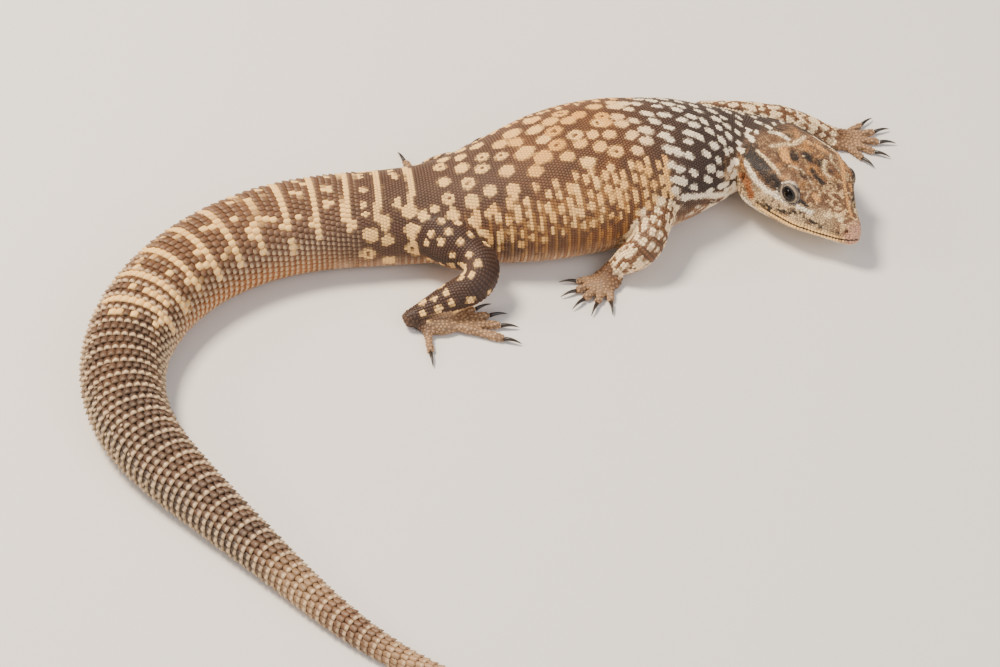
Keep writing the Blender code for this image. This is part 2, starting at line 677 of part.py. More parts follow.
def make_claw(leg, digit, name, material):
    """Curved, tapering claw that ends just above the floor."""
    kind = leg.split("_")[0]
    tip, direction, radius = digit_places(leg, digit)[1:]
    length = CLAW_LENGTH[kind]
    rings = []
    for t in (0.0, 0.25, 0.5, 0.75):
        along = GAP + length * t
        height = tip[2] + 0.55 * math.sin(math.pi * t * 0.8) - (tip[2] - 0.35) * t * t
        centre = np.array([*(tip[:2] + direction[:2] * along), height])
        rings.append(digit_ring(centre, direction, CLAW_ROOT * radius / 1.45 * (1 - 0.8 * t), 6))
    point = np.array([*(tip[:2] + direction[:2] * (GAP + length)), 0.1])
    rings = [np.column_stack([ring[:, :2], np.maximum(ring[:, 2], 0.0)]) for ring in rings]
    return lofted(name, rings, material, rear_pole=point)


def make_legs(skin, horn):
    """The four legs with their feet and claws."""
    parts = {
        "front_right": ("upper_arm_right", "forearm_right", "hand_right", ARM_RADII),
        "front_left": ("upper_arm_left", "forearm_left", "hand_left", ARM_RADII),
        "rear_right": ("thigh_right", "shank_right", "foot_right", THIGH_RADII),
        "rear_left": ("thigh_left", "shank_left", "foot_left", THIGH_RADII),
    }
    for leg, (upper, lower, foot, radii) in parts.items():
        make_leg(leg, (upper, lower), radii, skin)
        make_foot(leg, foot, skin)
        for digit in range(5):
            make_claw(leg, digit, f"claw_{foot}_{digit + 1}", horn)


def main():
    """Clear the scene and build every piece."""
    for item in list(bpy.data.objects):
        bpy.data.objects.remove(item)
    skin = paint("scaled_skin", (0.36, 0.23, 0.13), 0.6)
    tail_skin = paint("keeled_tail_skin", (0.30, 0.20, 0.13), 0.65)
    eye = paint("dark_eye", (0.02, 0.015, 0.01), 0.1)
    horn = paint("dark_horn", (0.08, 0.06, 0.05), 0.35)
    make_head(skin)
    make_eyes(eye)
    make_neck(skin)
    make_torso(skin)
    make_tail(tail_skin)
    make_legs(skin, horn)


main()
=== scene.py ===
"""Looks of the ackie monitor: one skin, its coat of scales, the eyes and the claws.

Lengths are millimetres until a mesh is made; the frame and the camera are in metres.
The spine is measured backwards from the tip of the snout, as s.
"""
from __future__ import annotations

import logging
import math
from dataclasses import dataclass, field
from enum import Enum

import bmesh
import bpy
import numpy as np
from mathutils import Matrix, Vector
from mathutils.bvhtree import BVHTree
from mathutils.kdtree import KDTree

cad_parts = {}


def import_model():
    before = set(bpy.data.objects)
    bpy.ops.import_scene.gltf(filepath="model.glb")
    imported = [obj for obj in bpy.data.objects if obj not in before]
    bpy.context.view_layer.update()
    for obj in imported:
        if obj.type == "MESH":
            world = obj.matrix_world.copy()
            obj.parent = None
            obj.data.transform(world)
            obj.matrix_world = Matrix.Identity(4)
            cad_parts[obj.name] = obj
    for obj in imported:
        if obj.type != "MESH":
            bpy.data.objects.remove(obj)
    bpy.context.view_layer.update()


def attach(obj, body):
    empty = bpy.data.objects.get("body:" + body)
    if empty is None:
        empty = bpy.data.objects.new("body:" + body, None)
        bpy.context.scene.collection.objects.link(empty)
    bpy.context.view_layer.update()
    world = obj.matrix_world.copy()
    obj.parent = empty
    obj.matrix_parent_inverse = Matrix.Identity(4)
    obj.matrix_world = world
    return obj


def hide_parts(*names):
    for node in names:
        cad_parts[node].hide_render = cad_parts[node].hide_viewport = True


MM = 0.001
LOG = logging.getLogger("ackie")

Array = np.ndarray
Triple = tuple[float, float, float]


# Numbers and colours -------------------------------------------------------


def linear(hexes: str) -> Array:
    """Turn sRGB hex into linear colour.

    Args:
        hexes: Six hex digits, with or without a hash.

    Returns:
        Array of three linear values.
    """
    digits = hexes.lstrip("#")
    srgb = np.array([int(digits[k:k + 2], 16) for k in (0, 2, 4)]) / 255.0
    return np.where(srgb <= 0.04045, srgb / 12.92, ((srgb + 0.055) / 1.055) ** 2.4)


def smooth(x: Array | float, stations: tuple, values: tuple) -> Array:
    """Monotone cubic through stations, flat beyond its ends.

    Args:
        x: Places to read.
        stations: Rising places of the known values.
        values: Known values.

    Returns:
        Value at each place.
    """
    xs = np.asarray(stations, float)
    ys = np.asarray(values, float)
    x = np.clip(x, xs[0], xs[-1])
    step = np.diff(xs)
    slope = np.diff(ys) / step
    tangent = np.zeros(len(xs))
    for i in range(1, len(xs) - 1):
        if slope[i - 1] * slope[i] > 0:
            before = 2 * step[i] + step[i - 1]
            after = step[i] + 2 * step[i - 1]
            tangent[i] = (before + after) / (before / slope[i - 1] + after / slope[i])
    tangent[0] = slope[0]
    tangent[-1] = slope[-1]
    i = np.clip(np.searchsorted(xs, x, side="right") - 1, 0, len(step) - 1)
    t = (x - xs[i]) / step[i]
    rise = ys[i] * (1 + 2 * t) * (1 - t) ** 2 + ys[i + 1] * t * t * (3 - 2 * t)
    return rise + step[i] * (tangent[i] * t * (1 - t) ** 2 - tangent[i + 1] * t * t * (1 - t))


def table(x: Array | float, rows: tuple, column: int = 1) -> Array:
    """One column of a station table at x."""
    return smooth(x, [row[0] for row in rows], [row[column] for row in rows])


def ease(x: Array | float, low: float, high: float) -> Array:
    """Smooth step from 0 at low to 1 at high."""
    t = np.clip((x - low) / (high - low), 0.0, 1.0)
    return t * t * (3 - 2 * t)


def unit(vectors: Array) -> Array:
    """Vectors scaled to length one."""
    return vectors / np.maximum(np.linalg.norm(vectors, axis=-1, keepdims=True), 1e-9)


def blend(base: Array, other: Array, share: Array | float) -> Array:
    """Mix two colours, or rows of them, by a share for each row."""
    share = np.clip(np.asarray(share), 0.0, 1.0)[..., None]
    return base * (1 - share) + other * share


def layered(colour: Array, *layers: tuple[Array, Array]) -> Array:
    """Lay tints over a colour one after the other.

    Args:
        colour: Rows of colours, or one for all.
        layers: Tint and share of each layer.

    Returns:
        Rows of mixed colours.
    """
    for tint, share in layers:
        colour = blend(colour, tint, share)
    return colour


def full_turn(count: int) -> Array:
    """Even angles once round, from 0."""
    return np.linspace(0, 2 * math.pi, count, endpoint=False)


def circle(angles: Array, side: Array, rise: Array) -> Array:
    """Points at angles from one axis to another."""
    return np.outer(np.cos(angles), side) + np.outer(np.sin(angles), rise)


def square_axes(run: Array) -> tuple[Array, Array]:
    """Level direction across a run, and the one square to both."""
    side = unit(np.cross(run, (0.0, 0.0, 1.0)))
    return side, np.cross(side, run)


def run_length(line: Array) -> Array:
    """Length along a line of points up to each of them."""
    return np.concatenate([[0], np.cumsum(np.linalg.norm(np.diff(line, axis=0), axis=1))])


def point_along(reach: Array | float, length: Array, line: Array) -> Array:
    """Places on a line at given lengths along it."""
    return np.stack([np.interp(reach, length, line[:, k]) for k in range(3)], axis=-1)


def kd_tree(points: Array) -> KDTree:
    """Search tree over points.

    Args:
        points: Places, in mm.

    Returns:
        The tree, whose indices are the points' rows.
    """
    tree = KDTree(len(points))
    for index, point in enumerate(points):
        tree.insert(Vector(point), index)
    tree.balance()
    return tree


def cell_members(cells: dict, key: tuple) -> list[int]:
    """Members of one cell of a grid and of the 26 cells around it."""
    return [other for dx in (-1, 0, 1) for dy in (-1, 0, 1) for dz in (-1, 0, 1)
            for other in cells.get((key[0] + dx, key[1] + dy, key[2] + dz), ())]


def soft_noise(points: Array, size: float, seed: int) -> Array:
    """Smooth random field with values from -1 to 1.

    Args:
        points: Places in mm.
        size: Width of one swell in mm.
        seed: Choice of field.

    Returns:
        Value for each point.
    """
    cell = points / size + 37.3
    base = np.floor(cell).astype(np.int64)
    f = cell - base
    f = f * f * (3 - 2 * f)
    total = np.zeros(len(points))
    for corner in range(8):
        step = np.array([corner & 1, (corner >> 1) & 1, corner >> 2])
        key = base + step
        mixed = key[:, 0] * 73856093 ^ key[:, 1] * 19349663 ^ key[:, 2] * 83492791 ^ seed * 2654435
        mixed = (mixed ^ (mixed >> 13)) * 1274126177
        value = ((mixed ^ (mixed >> 16)) & 65535) / 32767.5 - 1.0
        total += value * np.prod(np.where(step == 1, f, 1 - f), axis=1)
    return total


# Forms ---------------------------------------------------------------------

# Middle of the left eyeball, in head coordinates.
EYE_PLACE: Triple = (19.8, 10.3, 12.1)
# Ratio or gap that stands for any place well outside a form.
FAR = 9.0
# Least height of toes, palms and claws above the floor, in mm.
FLESH_GAP = 0.12
FLOOR_GAP = 0.02


@dataclass
class Spine:
    """Line that the body follows, with the head raised and rolled."""

    snout: tuple[float, float] = (103.15, 49.85)
    headings: tuple = (
        (3, -54), (42, -54), (46.5, -38.7), (51, -21.1), (56, -2.9), (62, 14.4), (70, 19.4),
        (79, 19), (93, 18.6), (108, 19), (132, 14), (152, 8), (172, 6), (188, 13), (204, 26),
        (220, 40), (237, 56), (254, 73), (268, 90), (283, 107), (298, 123), (317, 133),
        (342, 134), (363, 134), (382, 138), (401, 147), (420, 158), (438, 170), (456, 182),
        (476, 190), (496, 186), (519, 172))
    step: float = 0.5
    start: float = 3.0
    head_end: float = 42.0
    pose_end: float = 58.0
    pitch: float = math.radians(5.0)
    roll: float = math.radians(-12.9)
    lift: float = 2.4
    along: Array = field(init=False)
    places: Array = field(init=False)
    tree: KDTree = field(init=False)

    def __post_init__(self) -> None:
        """Walk back from the snout and keep the places."""
        self.along = np.arange(self.start, self.headings[-1][0] + self.step / 2, self.step)
        direction = self.axes(self.along)[0]
        middle = (direction[1:] + direction[:-1]) / 2 * self.step
        self.places = np.zeros((len(self.along), 3))
        self.places[1:] = -np.cumsum(middle, axis=0)
        self.places[:, :2] += self.snout
        self.places[:, 2] += self.lift * self.share(self.along) - self.places[-1, 2]
        self.tree = kd_tree(self.places)

    def share(self, s: Array) -> Array:
        """Share of the head's pose that holds at s."""
        return 1.0 - ease(s, self.head_end, self.pose_end)

    def axes(self, s: Array) -> tuple[Array, Array, Array]:
        """Forward, left and up at each s.

        Args:
            s: Places along the spine.

        Returns:
            Unit vectors, a row for each place.
        """
        s = np.atleast_1d(np.asarray(s, float))
        heading = np.radians(table(s, self.headings))
        pitch = self.pitch * self.share(s)
        roll = (self.roll * self.share(s))[:, None]
        forward = np.stack([np.cos(heading) * np.cos(pitch), np.sin(heading) * np.cos(pitch),
                            np.sin(pitch)], axis=1)
        level = np.stack([-np.sin(heading), np.cos(heading), np.zeros_like(heading)], axis=1)
        rise = np.cross(forward, level)
        left = level * np.cos(roll) + rise * np.sin(roll)
        return forward, left, np.cross(forward, left)

    def origin(self, s: Array) -> Array:
        """Place of the spine line at each s."""
        s = np.atleast_1d(np.asarray(s, float))
        return point_along(s, self.along, self.places)

    def locate(self, points: Array) -> tuple[Array, Array, Array]:
        """Find s and the left and up offsets of world points.

        Args:
            points: World places in mm.

        Returns:
            s, left and up of each point.
        """
        near = np.array([self.tree.find(Vector(p))[1] for p in points])
        forward = self.axes(self.along[near])[0]
        s = self.along[near] - np.sum((points - self.places[near]) * forward, axis=1)
        s = np.clip(s, self.start, self.along[-1])
        _, left, up = self.axes(s)
        offset = points - self.origin(s)
        return s, np.sum(offset * left, axis=1), np.sum(offset * up, axis=1)

    def to_head(self, points: Array) -> Array:
        """Head coordinates: behind the tip, to the left, above the chin.

        Args:
            points: World places.

        Returns:
            The same places in head coordinates.
        """
        forward, left, up = (axis[0] for axis in self.axes(self.start))
        offset = points - self.origin(self.start)[0]
        return np.stack([-offset @ forward, offset @ left, offset @ up], axis=1)

    def from_head(self, points: Array) -> Array:
        """World places of head coordinates.

        Args:
            points: Places in head coordinates.

        Returns:
            The same places in the world.
        """
        forward, left, up = (axis[0] for axis in self.axes(self.start))
        points = np.atleast_2d(np.asarray(points, float))
        return (self.origin(self.start)[0] - np.outer(points[:, 0], forward)
                + np.outer(points[:, 1], left) + np.outer(points[:, 2], up))


@dataclass
class BodyForm:
    """Sections of head, neck, trunk and tail."""

    spine: Spine
    sections: tuple = (
        (42, 13.4, 2.6, 22.0), (50, 12.8, 2.2, 22.4), (57, 13.8, 1.8, 24.4), (64, 16.2, 1.0, 27.6),
        (74, 19.6, 0.0, 31.2), (84, 22.4, -0.8, 32.8), (93, 24.6, -1.2, 33.8),
        (103, 25.6, -1.4, 34.0), (113, 25.0, -1.4, 33.4), (125, 22.8, -1.2, 31.2),
        (136, 19.6, -1.0, 28.6), (147, 16.6, -0.9, 26.0), (158, 15.0, -0.9, 24.8),
        (174, 14.4, -0.9, 24.4), (194, 14.0, -0.9, 24.0), (224, 13.2, -0.8, 22.4),
        (256, 12.2, -0.7, 20.0), (284, 10.8, -0.6, 17.4), (312, 8.8, -0.6, 14.4),
        (339, 6.6, -0.5, 11.2), (364, 4.9, -0.4, 8.6), (389, 3.8, -0.3, 6.8),
        (414, 2.9, -0.3, 5.2), (444, 2.0, -0.2, 3.8), (474, 1.4, -0.2, 2.7),
        (499, 0.95, -0.1, 1.9), (519, 0.55, 0.0, 1.2))
    widest: float = 0.42
    round_top: float = 2.2
    round_below: float = 2.6
    head_x: tuple = (0.6, 1.9, 4.2, 7.4, 12.1, 15.8, 20.0, 23.7, 27.9, 32.6, 36.3, 39.0)
    crown_z: tuple = (6.2, 8.1, 9.6, 11.1, 13.4, 15.3, 17.1, 18.2, 19.1, 19.6, 19.8, 19.8)
    brow_y: tuple = (1.1, 2.2, 3.2, 4.4, 6.8, 9.3, 11.0, 11.7, 12.8, 13.8, 13.8, 13.2)
    brow_z: tuple = (5.7, 7.2, 8.6, 10.1, 12.4, 14.7, 16.3, 16.7, 16.7, 16.5, 16.4, 16.4)
    cheek_y: tuple = (1.5, 2.9, 4.1, 5.6, 8.4, 10.8, 12.5, 14.0, 15.8, 17.2, 16.8, 15.6)
    cheek_z: tuple = (4.9, 5.7, 6.7, 7.7, 9.2, 10.8, 11.5, 11.3, 11.1, 10.7, 10.8, 11.1)
    lip_y: tuple = (1.5, 3.0, 4.3, 6.0, 9.1, 11.8, 13.5, 15.1, 16.6, 17.4, 16.8, 15.5)
    lip_z: tuple = (4.0, 3.9, 3.9, 4.0, 4.2, 4.5, 4.8, 5.5, 6.4, 7.0, 7.4, 7.8)
    jaw_y: tuple = (1.1, 2.3, 3.5, 5.2, 8.1, 10.6, 12.2, 13.5, 14.8, 15.4, 14.5, 13.2)
    jaw_z: tuple = (2.8, 1.8, 1.3, 1.1, 1.1, 1.2, 1.3, 1.5, 1.7, 2.0, 2.3, 2.7)
    chin_z: tuple = (2.4, 1.1, 0.4, 0.0, 0.0, 0.0, 0.0, 0.0, 0.0, 0.1, 0.3, 0.5)
    eye: Triple = EYE_PLACE
    eye_radius: float = 3.0
    lid_outer: float = 3.9
    tail_end: float = 517.0
    half_count: int = 60

    def levels(self, s: Array) -> tuple[Array, Array, Array, Array]:
        """Half width, underside, back and widest level at s.

        Args:
            s: Distances along the spine from the snout.

        Returns:
            Four arrays, one value for each distance.
        """
        low = table(s, self.sections, 2)
        high = table(s, self.sections, 3)
        return table(s, self.sections, 1), low, high, low + self.widest * (high - low)

    def reach(self, s: Array, angles: Array) -> Array:
        """Distance from the section's middle to its edge at each angle from the back.

        Args:
            s: Places along the spine.
            angles: Angle at each of them.

        Returns:
            Distances in mm.
        """
        half_width, low, high, middle = self.levels(s)
        side = np.sin(angles)
        rise = np.cos(angles)
        half_height = np.where(rise > 0, high - middle, middle - low)
        power = np.where(rise > 0, self.round_top, self.round_below)
        across = np.abs(side / half_width) ** power
        return (across + np.abs(rise / half_height) ** power) ** (-1 / power)

    def around(self, points: Array) -> tuple[Array, Array, Array, Array, Array, Array]:
        """Read where points lie round the body.

        Args:
            points: World places in mm.

        Returns:
            s, left, angle from the back, distance from the section's middle, the section's
            own reach at that angle, and height as a share of the section.
        """
        s, left, up = self.spine.locate(points)
        _, low, high, middle = self.levels(s)
        angle = np.arctan2(left, up - middle)
        height = (up - low) / (high - low)
        return s, left, angle, np.hypot(left, up - middle), self.reach(s, angle), height

    def section(self, s: float, angles: Array) -> Array:
        """Body section (left, up) at s.

        Args:
            s: Distance along the spine from the snout.
            angles: Angles round the section, from the back.

        Returns:
            One row (left, up) for each angle.
        """
        middle = self.levels(s)[3]
        reach = self.reach(s, angles)
        return np.stack([reach * np.sin(angles), middle + reach * np.cos(angles)], axis=1)

    def head_half(self, x: float, t: Array) -> Array:
        """Left half of the head's section at x; t runs 0..5 from the crown to the chin.

        Args:
            x: Distance behind the tip of the snout.
            t: Steps round the section.

        Returns:
            Left and up of each step.
        """
        names = ((None, self.crown_z), (self.brow_y, self.brow_z), (self.cheek_y, self.cheek_z),
                 (self.lip_y, self.lip_z), (self.jaw_y, self.jaw_z), (None, self.chin_z))
        controls = np.array([[0.0 if ys is None else float(smooth(x, self.head_x, ys)),
                              float(smooth(x, self.head_x, zs))] for ys, zs in names])
        points = np.vstack([controls[1] * (-1, 1), controls, controls[-2] * (-1, 1)])
        span = np.clip(np.floor(t).astype(int), 0, 4)
        u = (t - span)[:, None]
        before, start, end, after = (points[span + k] for k in range(4))
        half = 0.5 * (2 * start + (end - before) * u
                      + (2 * before - 5 * start + 4 * end - after) * u * u
                      + (3 * start - before - 3 * end + after) * u ** 3)
        return self.orbit(x, half)

    def orbit(self, x: float, half: Array) -> Array:
        """Push the section near the eye out to the lids.

        Args:
            x: Distance behind the tip of the snout.
            half: Left half of the section.

        Returns:
            The section, clear of the eyeball.
        """
        reach = self.lid_outer ** 2 - (x - self.eye[0]) ** 2
        if reach <= 0:
            return half
        ring = math.sqrt(reach)
        offset = half - self.eye[1:]
        distance = np.hypot(offset[:, 0], offset[:, 1])
        behind = (distance < ring) & (offset[:, 0] > 0)
        scale = np.where(behind, ring / np.maximum(distance, 0.2), 1.0)
        return self.eye[1:] + offset * scale[:, None]

    def ring(self, s: float) -> Array:
        """Closed section at s as (left, up), from the crown down the left side.

        Args:
            s: Place along the spine.

        Returns:
            Left and up of each point.
        """
        t = np.linspace(0.0, 5.0, self.half_count + 1)
        half = self.head_half(min(s, self.spine.head_end) - self.spine.start, t)
        full = np.vstack([half, half[-2:0:-1] * (-1, 1)])
        if s <= self.spine.head_end:
            return full
        angles = np.arctan2(full[:, 0], full[:, 1] - full[:, 1].mean())
        share = float(ease(s, self.spine.head_end, self.spine.pose_end))
        return full * (1 - share) + self.section(s, angles) * share

    def world_ring(self, s: float, inset: float = 0.4) -> Array:
        """Section at s in the world, drawn in along its own normals.

        Args:
            s: Place along the spine.
            inset: How far it is drawn in.

        Returns:
            World places in mm, none under the floor.
        """
        ring = self.ring(s)
        run = unit(np.roll(ring, -1, axis=0) - np.roll(ring, 1, axis=0))
        ring = ring - inset * np.stack([-run[:, 1], run[:, 0]], axis=1)
        _, left, up = self.spine.axes(s)
        world = self.spine.origin(s) + ring[:, :1] * left + ring[:, 1:] * up
        world[:, 2] = np.maximum(world[:, 2], inset)
        return world


@dataclass(frozen=True)
class HeadForm:
    """Lids, mouth, nostrils and ears, in head coordinates of the left side."""

    eye: Triple = EYE_PLACE
    opening: tuple[float, float] = (2.25, 1.95)
    lid_rings: tuple = (1.24, 1.46, 1.69)
    lid_fold: float = 0.23
    lid_profile: tuple = ((0, 2.2), (0.86, 2.4), (1.0, 2.94), (1.12, 3.08), (1.35, 3.22),
                          (1.65, 3.3), (2.1, 3.4))
    mouth: tuple = ((0.6, 4.0), (3, 3.2), (6, 2.7), (10, 2.6), (14, 3.0), (19, 3.5), (26, 4.7))
    mouth_end: float = 26.5
    back_end: float = 39.0
    nostril: Triple = (2.6, 3.1, 6.3)
    nostril_size: float = 0.75
    ear: Triple = (35.5, 16.6, 9.8)
    ear_size: Triple = (1.2, 2.4, 2.0)

    def folded(self, head: Array) -> Array:
        """Head coordinates with the right side laid over the left."""
        return head * np.where(head[:, 1:2] < 0, (1, -1, 1), (1, 1, 1))

    def eye_ratio(self, side: Array) -> Array:
        """1 on the edge of the gap between the lids, less inside it.

        Args:
            side: Places folded to the left side.

        Returns:
            One ratio for each place.
        """
        offset = side - self.eye
        ratio = np.hypot(offset[:, 0] / self.opening[0], offset[:, 2] / self.opening[1])
        return np.where(offset[:, 1] > 0.3, ratio, FAR)

    def mouth_gap(self, side: Array) -> Array:
        """Height above the line of the mouth, large behind its corner."""
        gap = side[:, 2] - table(side[:, 0], self.mouth)
        return np.where(side[:, 0] < self.mouth_end, gap, FAR)

    def ear_ratio(self, side: Array) -> Array:
        """1 on the edge of the ear's cup, less inside it."""
        return np.linalg.norm((side - self.ear) / self.ear_size, axis=1)

    def sculpt(self, head: Array) -> Array:
        """Sink the eyes, nostrils, ears and mouth line, and raise the lids.

        Args:
            head: Head coordinates of the skin.

        Returns:
            Their places after sculpting.
        """
        flip = np.where(head[:, 1:2] < 0, (1, -1, 1), (1, 1, 1))
        side = head * flip
        ratio = self.eye_ratio(side)
        offset = side - self.eye
        reach = np.maximum(np.linalg.norm(offset, axis=1), 0.2)
        lid = table(ratio, self.lid_profile)
        fold = np.sin(2 * math.pi * (ratio - 1.12) / self.lid_fold)
        lid = lid + 0.06 * fold * ease(ratio, 1.1, 1.2)
        share = (1 - ease(ratio, 1.6, 2.1)) * (reach < 5.5)
        side = side + offset / reach[:, None] * ((lid - reach) * share)[:, None]
        spot = np.linalg.norm(side - self.nostril, axis=1) / self.nostril_size
        side = side + np.array([0.35, -0.7, -0.25]) * (1 - ease(spot, 0.5, 1.15))[:, None]
        cup = self.ear_ratio(side)
        side = side + np.array([0.0, -1.5, 0.0]) * (1 - ease(cup, 0.45, 1.0))[:, None]
        line = 1 - ease(np.abs(self.mouth_gap(side)), 0.1, 0.45)
        middle = np.array([0.0, 0.0, 1.0]) * side + np.array([1.0, 0.0, 0.0]) * (side[:, :1] + 1.0)
        inward = unit(middle - side)
        return (side + inward * (0.3 * line)[:, None]) * flip

    def open_skin(self, head: Array) -> Array:
        """True where scales may stand.

        Args:
            head: Places in head coordinates.

        Returns:
            One flag for each place.
        """
        side = self.folded(head)
        spot = np.linalg.norm(side - self.nostril, axis=1)
        return ((self.eye_ratio(side) > 1.12) & (spot > self.nostril_size * 0.8)
                & (self.ear_ratio(side) > 0.8) & (np.abs(self.mouth_gap(side)) > 0.34))


class Corner(Enum):
    """The four legs."""

    FRONT_RIGHT = "front_right"
    FRONT_LEFT = "front_left"
    REAR_RIGHT = "rear_right"
    REAR_LEFT = "rear_left"


@dataclass
class Limb:
    """One leg with its palm or sole and its digits."""

    corner: Corner
    joints: tuple[Triple, Triple, Triple]
    heading: float
    radii: tuple
    digits: tuple
    palm: Triple
    palm_ahead: float
    claw: float
    digit_reach: float = 1.0
    bend: float = 6.4
    shares: tuple = (0.0, 0.45, 0.8, 1.4, 2.0)
    centres: Array = field(init=False)
    runs: Array = field(init=False)
    marks: Array = field(init=False)
    tree: KDTree = field(init=False)

    def __post_init__(self) -> None:
        """Lay the path through the joints with a round bend."""
        start, bend, end = (np.asarray(p, float) for p in self.joints)
        before = unit(bend - start)
        after = unit(end - bend)
        turn = math.acos(float(np.clip(before @ after, -1.0, 1.0)))
        entry = bend - before * self.bend * math.tan(turn / 2)
        inward = unit(after - before * (before @ after))
        centre = entry + inward * self.bend
        rows = [(start + (entry - start) * t, before, 0.8 * t)
                for t in np.linspace(0, 1, 16, endpoint=False)]
        for t in np.linspace(0.0, 1.0, 19):
            angle = turn * t
            spoke = -inward * math.cos(angle) + before * math.sin(angle)
            run = before * math.cos(angle) + inward * math.sin(angle)
            rows.append((centre + spoke * self.bend, run, 0.8 + 0.4 * t))
        leave = rows[-1][0]
        rows += [(leave + (end - leave) * t, after, 1.2 + 0.8 * t)
                 for t in np.linspace(0.06, 1.0, 16)]
        self.centres = np.array([row[0] for row in rows])
        self.runs = np.array([row[1] for row in rows])
        self.marks = np.array([row[2] for row in rows])
        self.tree = kd_tree(self.centres)

    @property
    def front(self) -> bool:
        """True for an arm."""
        return self.corner in (Corner.FRONT_RIGHT, Corner.FRONT_LEFT)

    @property
    def side(self) -> int:
        """1 on the animal's right, -1 on its left."""
        return 1 if self.corner in (Corner.FRONT_RIGHT, Corner.REAR_RIGHT) else -1

    def radius(self, share: Array) -> Array:
        """Radius of the leg at a share of its length, 0 to 2."""
        return smooth(share, self.shares, self.radii)

    def foot_axes(self) -> tuple[Array, Array]:
        """Level directions along and across the foot."""
        turn = math.radians(self.heading)
        return (np.array([math.cos(turn), math.sin(turn), 0.0]),
                np.array([-math.sin(turn), math.cos(turn), 0.0]) * self.side)

    def rings(self, sides: int, inset: float) -> list[Array]:
        """Rings of the leg, then a stub into the palm.

        Args:
            sides: Points in each ring.
            inset: How far inside the surface they lie.

        Returns:
            The rings, from the trunk outwards.
        """
        places = list(zip(self.centres, self.runs, self.radius(self.marks)))
        last = self.centres[-1]
        run = self.runs[-1]
        for reach, size in ((2.0, 0.98), (4.2, 0.72)):
            places.append((last + run * reach, run, self.radii[-1] * size))
        rings = []
        for centre, direction, radius in places:
            ring = centre + (radius - inset) * circle(full_turn(sides), *square_axes(direction))
            ring[:, 2] = np.maximum(ring[:, 2], inset)
            rings.append(ring)
        return rings

    def digit(self, index: int) -> tuple[Array, Array, Array, float]:
        """Root, tip, direction and radius of one digit.

        Args:
            index: Digit, from 0 to 4.

        Returns:
            Root, tip, direction and radius.
        """
        angle, length, radius = self.digits[index]
        middle, across = self.foot_axes()
        turn = math.radians(angle)
        direction = middle * math.cos(turn) + across * math.sin(turn)
        ahead = self.palm[0] * 0.62 * math.cos(turn)
        aside = self.palm[1] * 0.72 * math.sin(turn) * 1.3
        if abs(angle) > 60:
            ahead = -self.palm[0] * 0.35
            aside = math.copysign(self.palm[1] * 0.45, turn)
        root = np.asarray(self.joints[2]) + middle * (self.palm_ahead + ahead) + across * aside
        root[2] = radius * 0.95
        tip = root + direction * length * self.digit_reach
        tip[2] = radius * 0.8
        return root, tip, direction, radius

    def digit_rings(self, index: int, sides: int, inset: float) -> list[Array]:
        """Rings of a digit, swollen at its joints.

        Args:
            index: Digit, from 0 to 4.
            sides: Points in each ring.
            inset: How far inside the surface they lie.

        Returns:
            The rings, from the palm outwards.
        """
        root, tip, direction, radius = self.digit(index)
        rings = []
        for t in np.linspace(0.0, 1.0, 15):
            size = float(smooth(t, (0, 0.3, 0.55, 0.8, 1), (0.95, 1.0, 0.88, 0.98, 0.8)))
            arch = float(smooth(t, (0, 0.3, 0.55, 0.8, 1), (0.0, 0.35, 0.3, 0.1, 0.0)))
            centre = root + (tip - root) * t + (0.0, 0.0, arch)
            rings.append(level_ring(centre, direction, radius * size - inset, sides))
        return rings

    def locate(self, points: Array) -> tuple[Array, Array, Array]:
        """Share along the leg, distance as a share of the radius, and angle around it.

        Args:
            points: World places in mm.

        Returns:
            The three values of each point.
        """
        near = np.array([self.tree.find(Vector(p))[1] for p in points])
        run = self.runs[near]
        offset = points - self.centres[near]
        offset = offset - run * np.sum(offset * run, axis=1, keepdims=True)
        side, rise = square_axes(run)
        share = self.marks[near]
        distance = np.linalg.norm(points - self.centres[near], axis=1)
        angle = np.arctan2(np.sum(offset * rise, axis=1), np.sum(offset * side, axis=1))
        return share, distance / self.radius(share), angle


def level_ring(centre: Array, direction: Array, radius: float, sides: int) -> Array:
    """Small ring square to a level direction, kept off the floor.

    Args:
        centre: Middle of the ring.
        direction: Level direction that the ring stands square to.
        radius: Radius in mm.
        sides: Number of points.

    Returns:
        The ring's points.
    """
    across = unit(np.array([-direction[1], direction[0], 0.0]))
    ring = centre + radius * circle(full_turn(sides), across, np.cross(across, direction))
    ring[:, 2] = np.maximum(ring[:, 2], FLESH_GAP)
    return ring


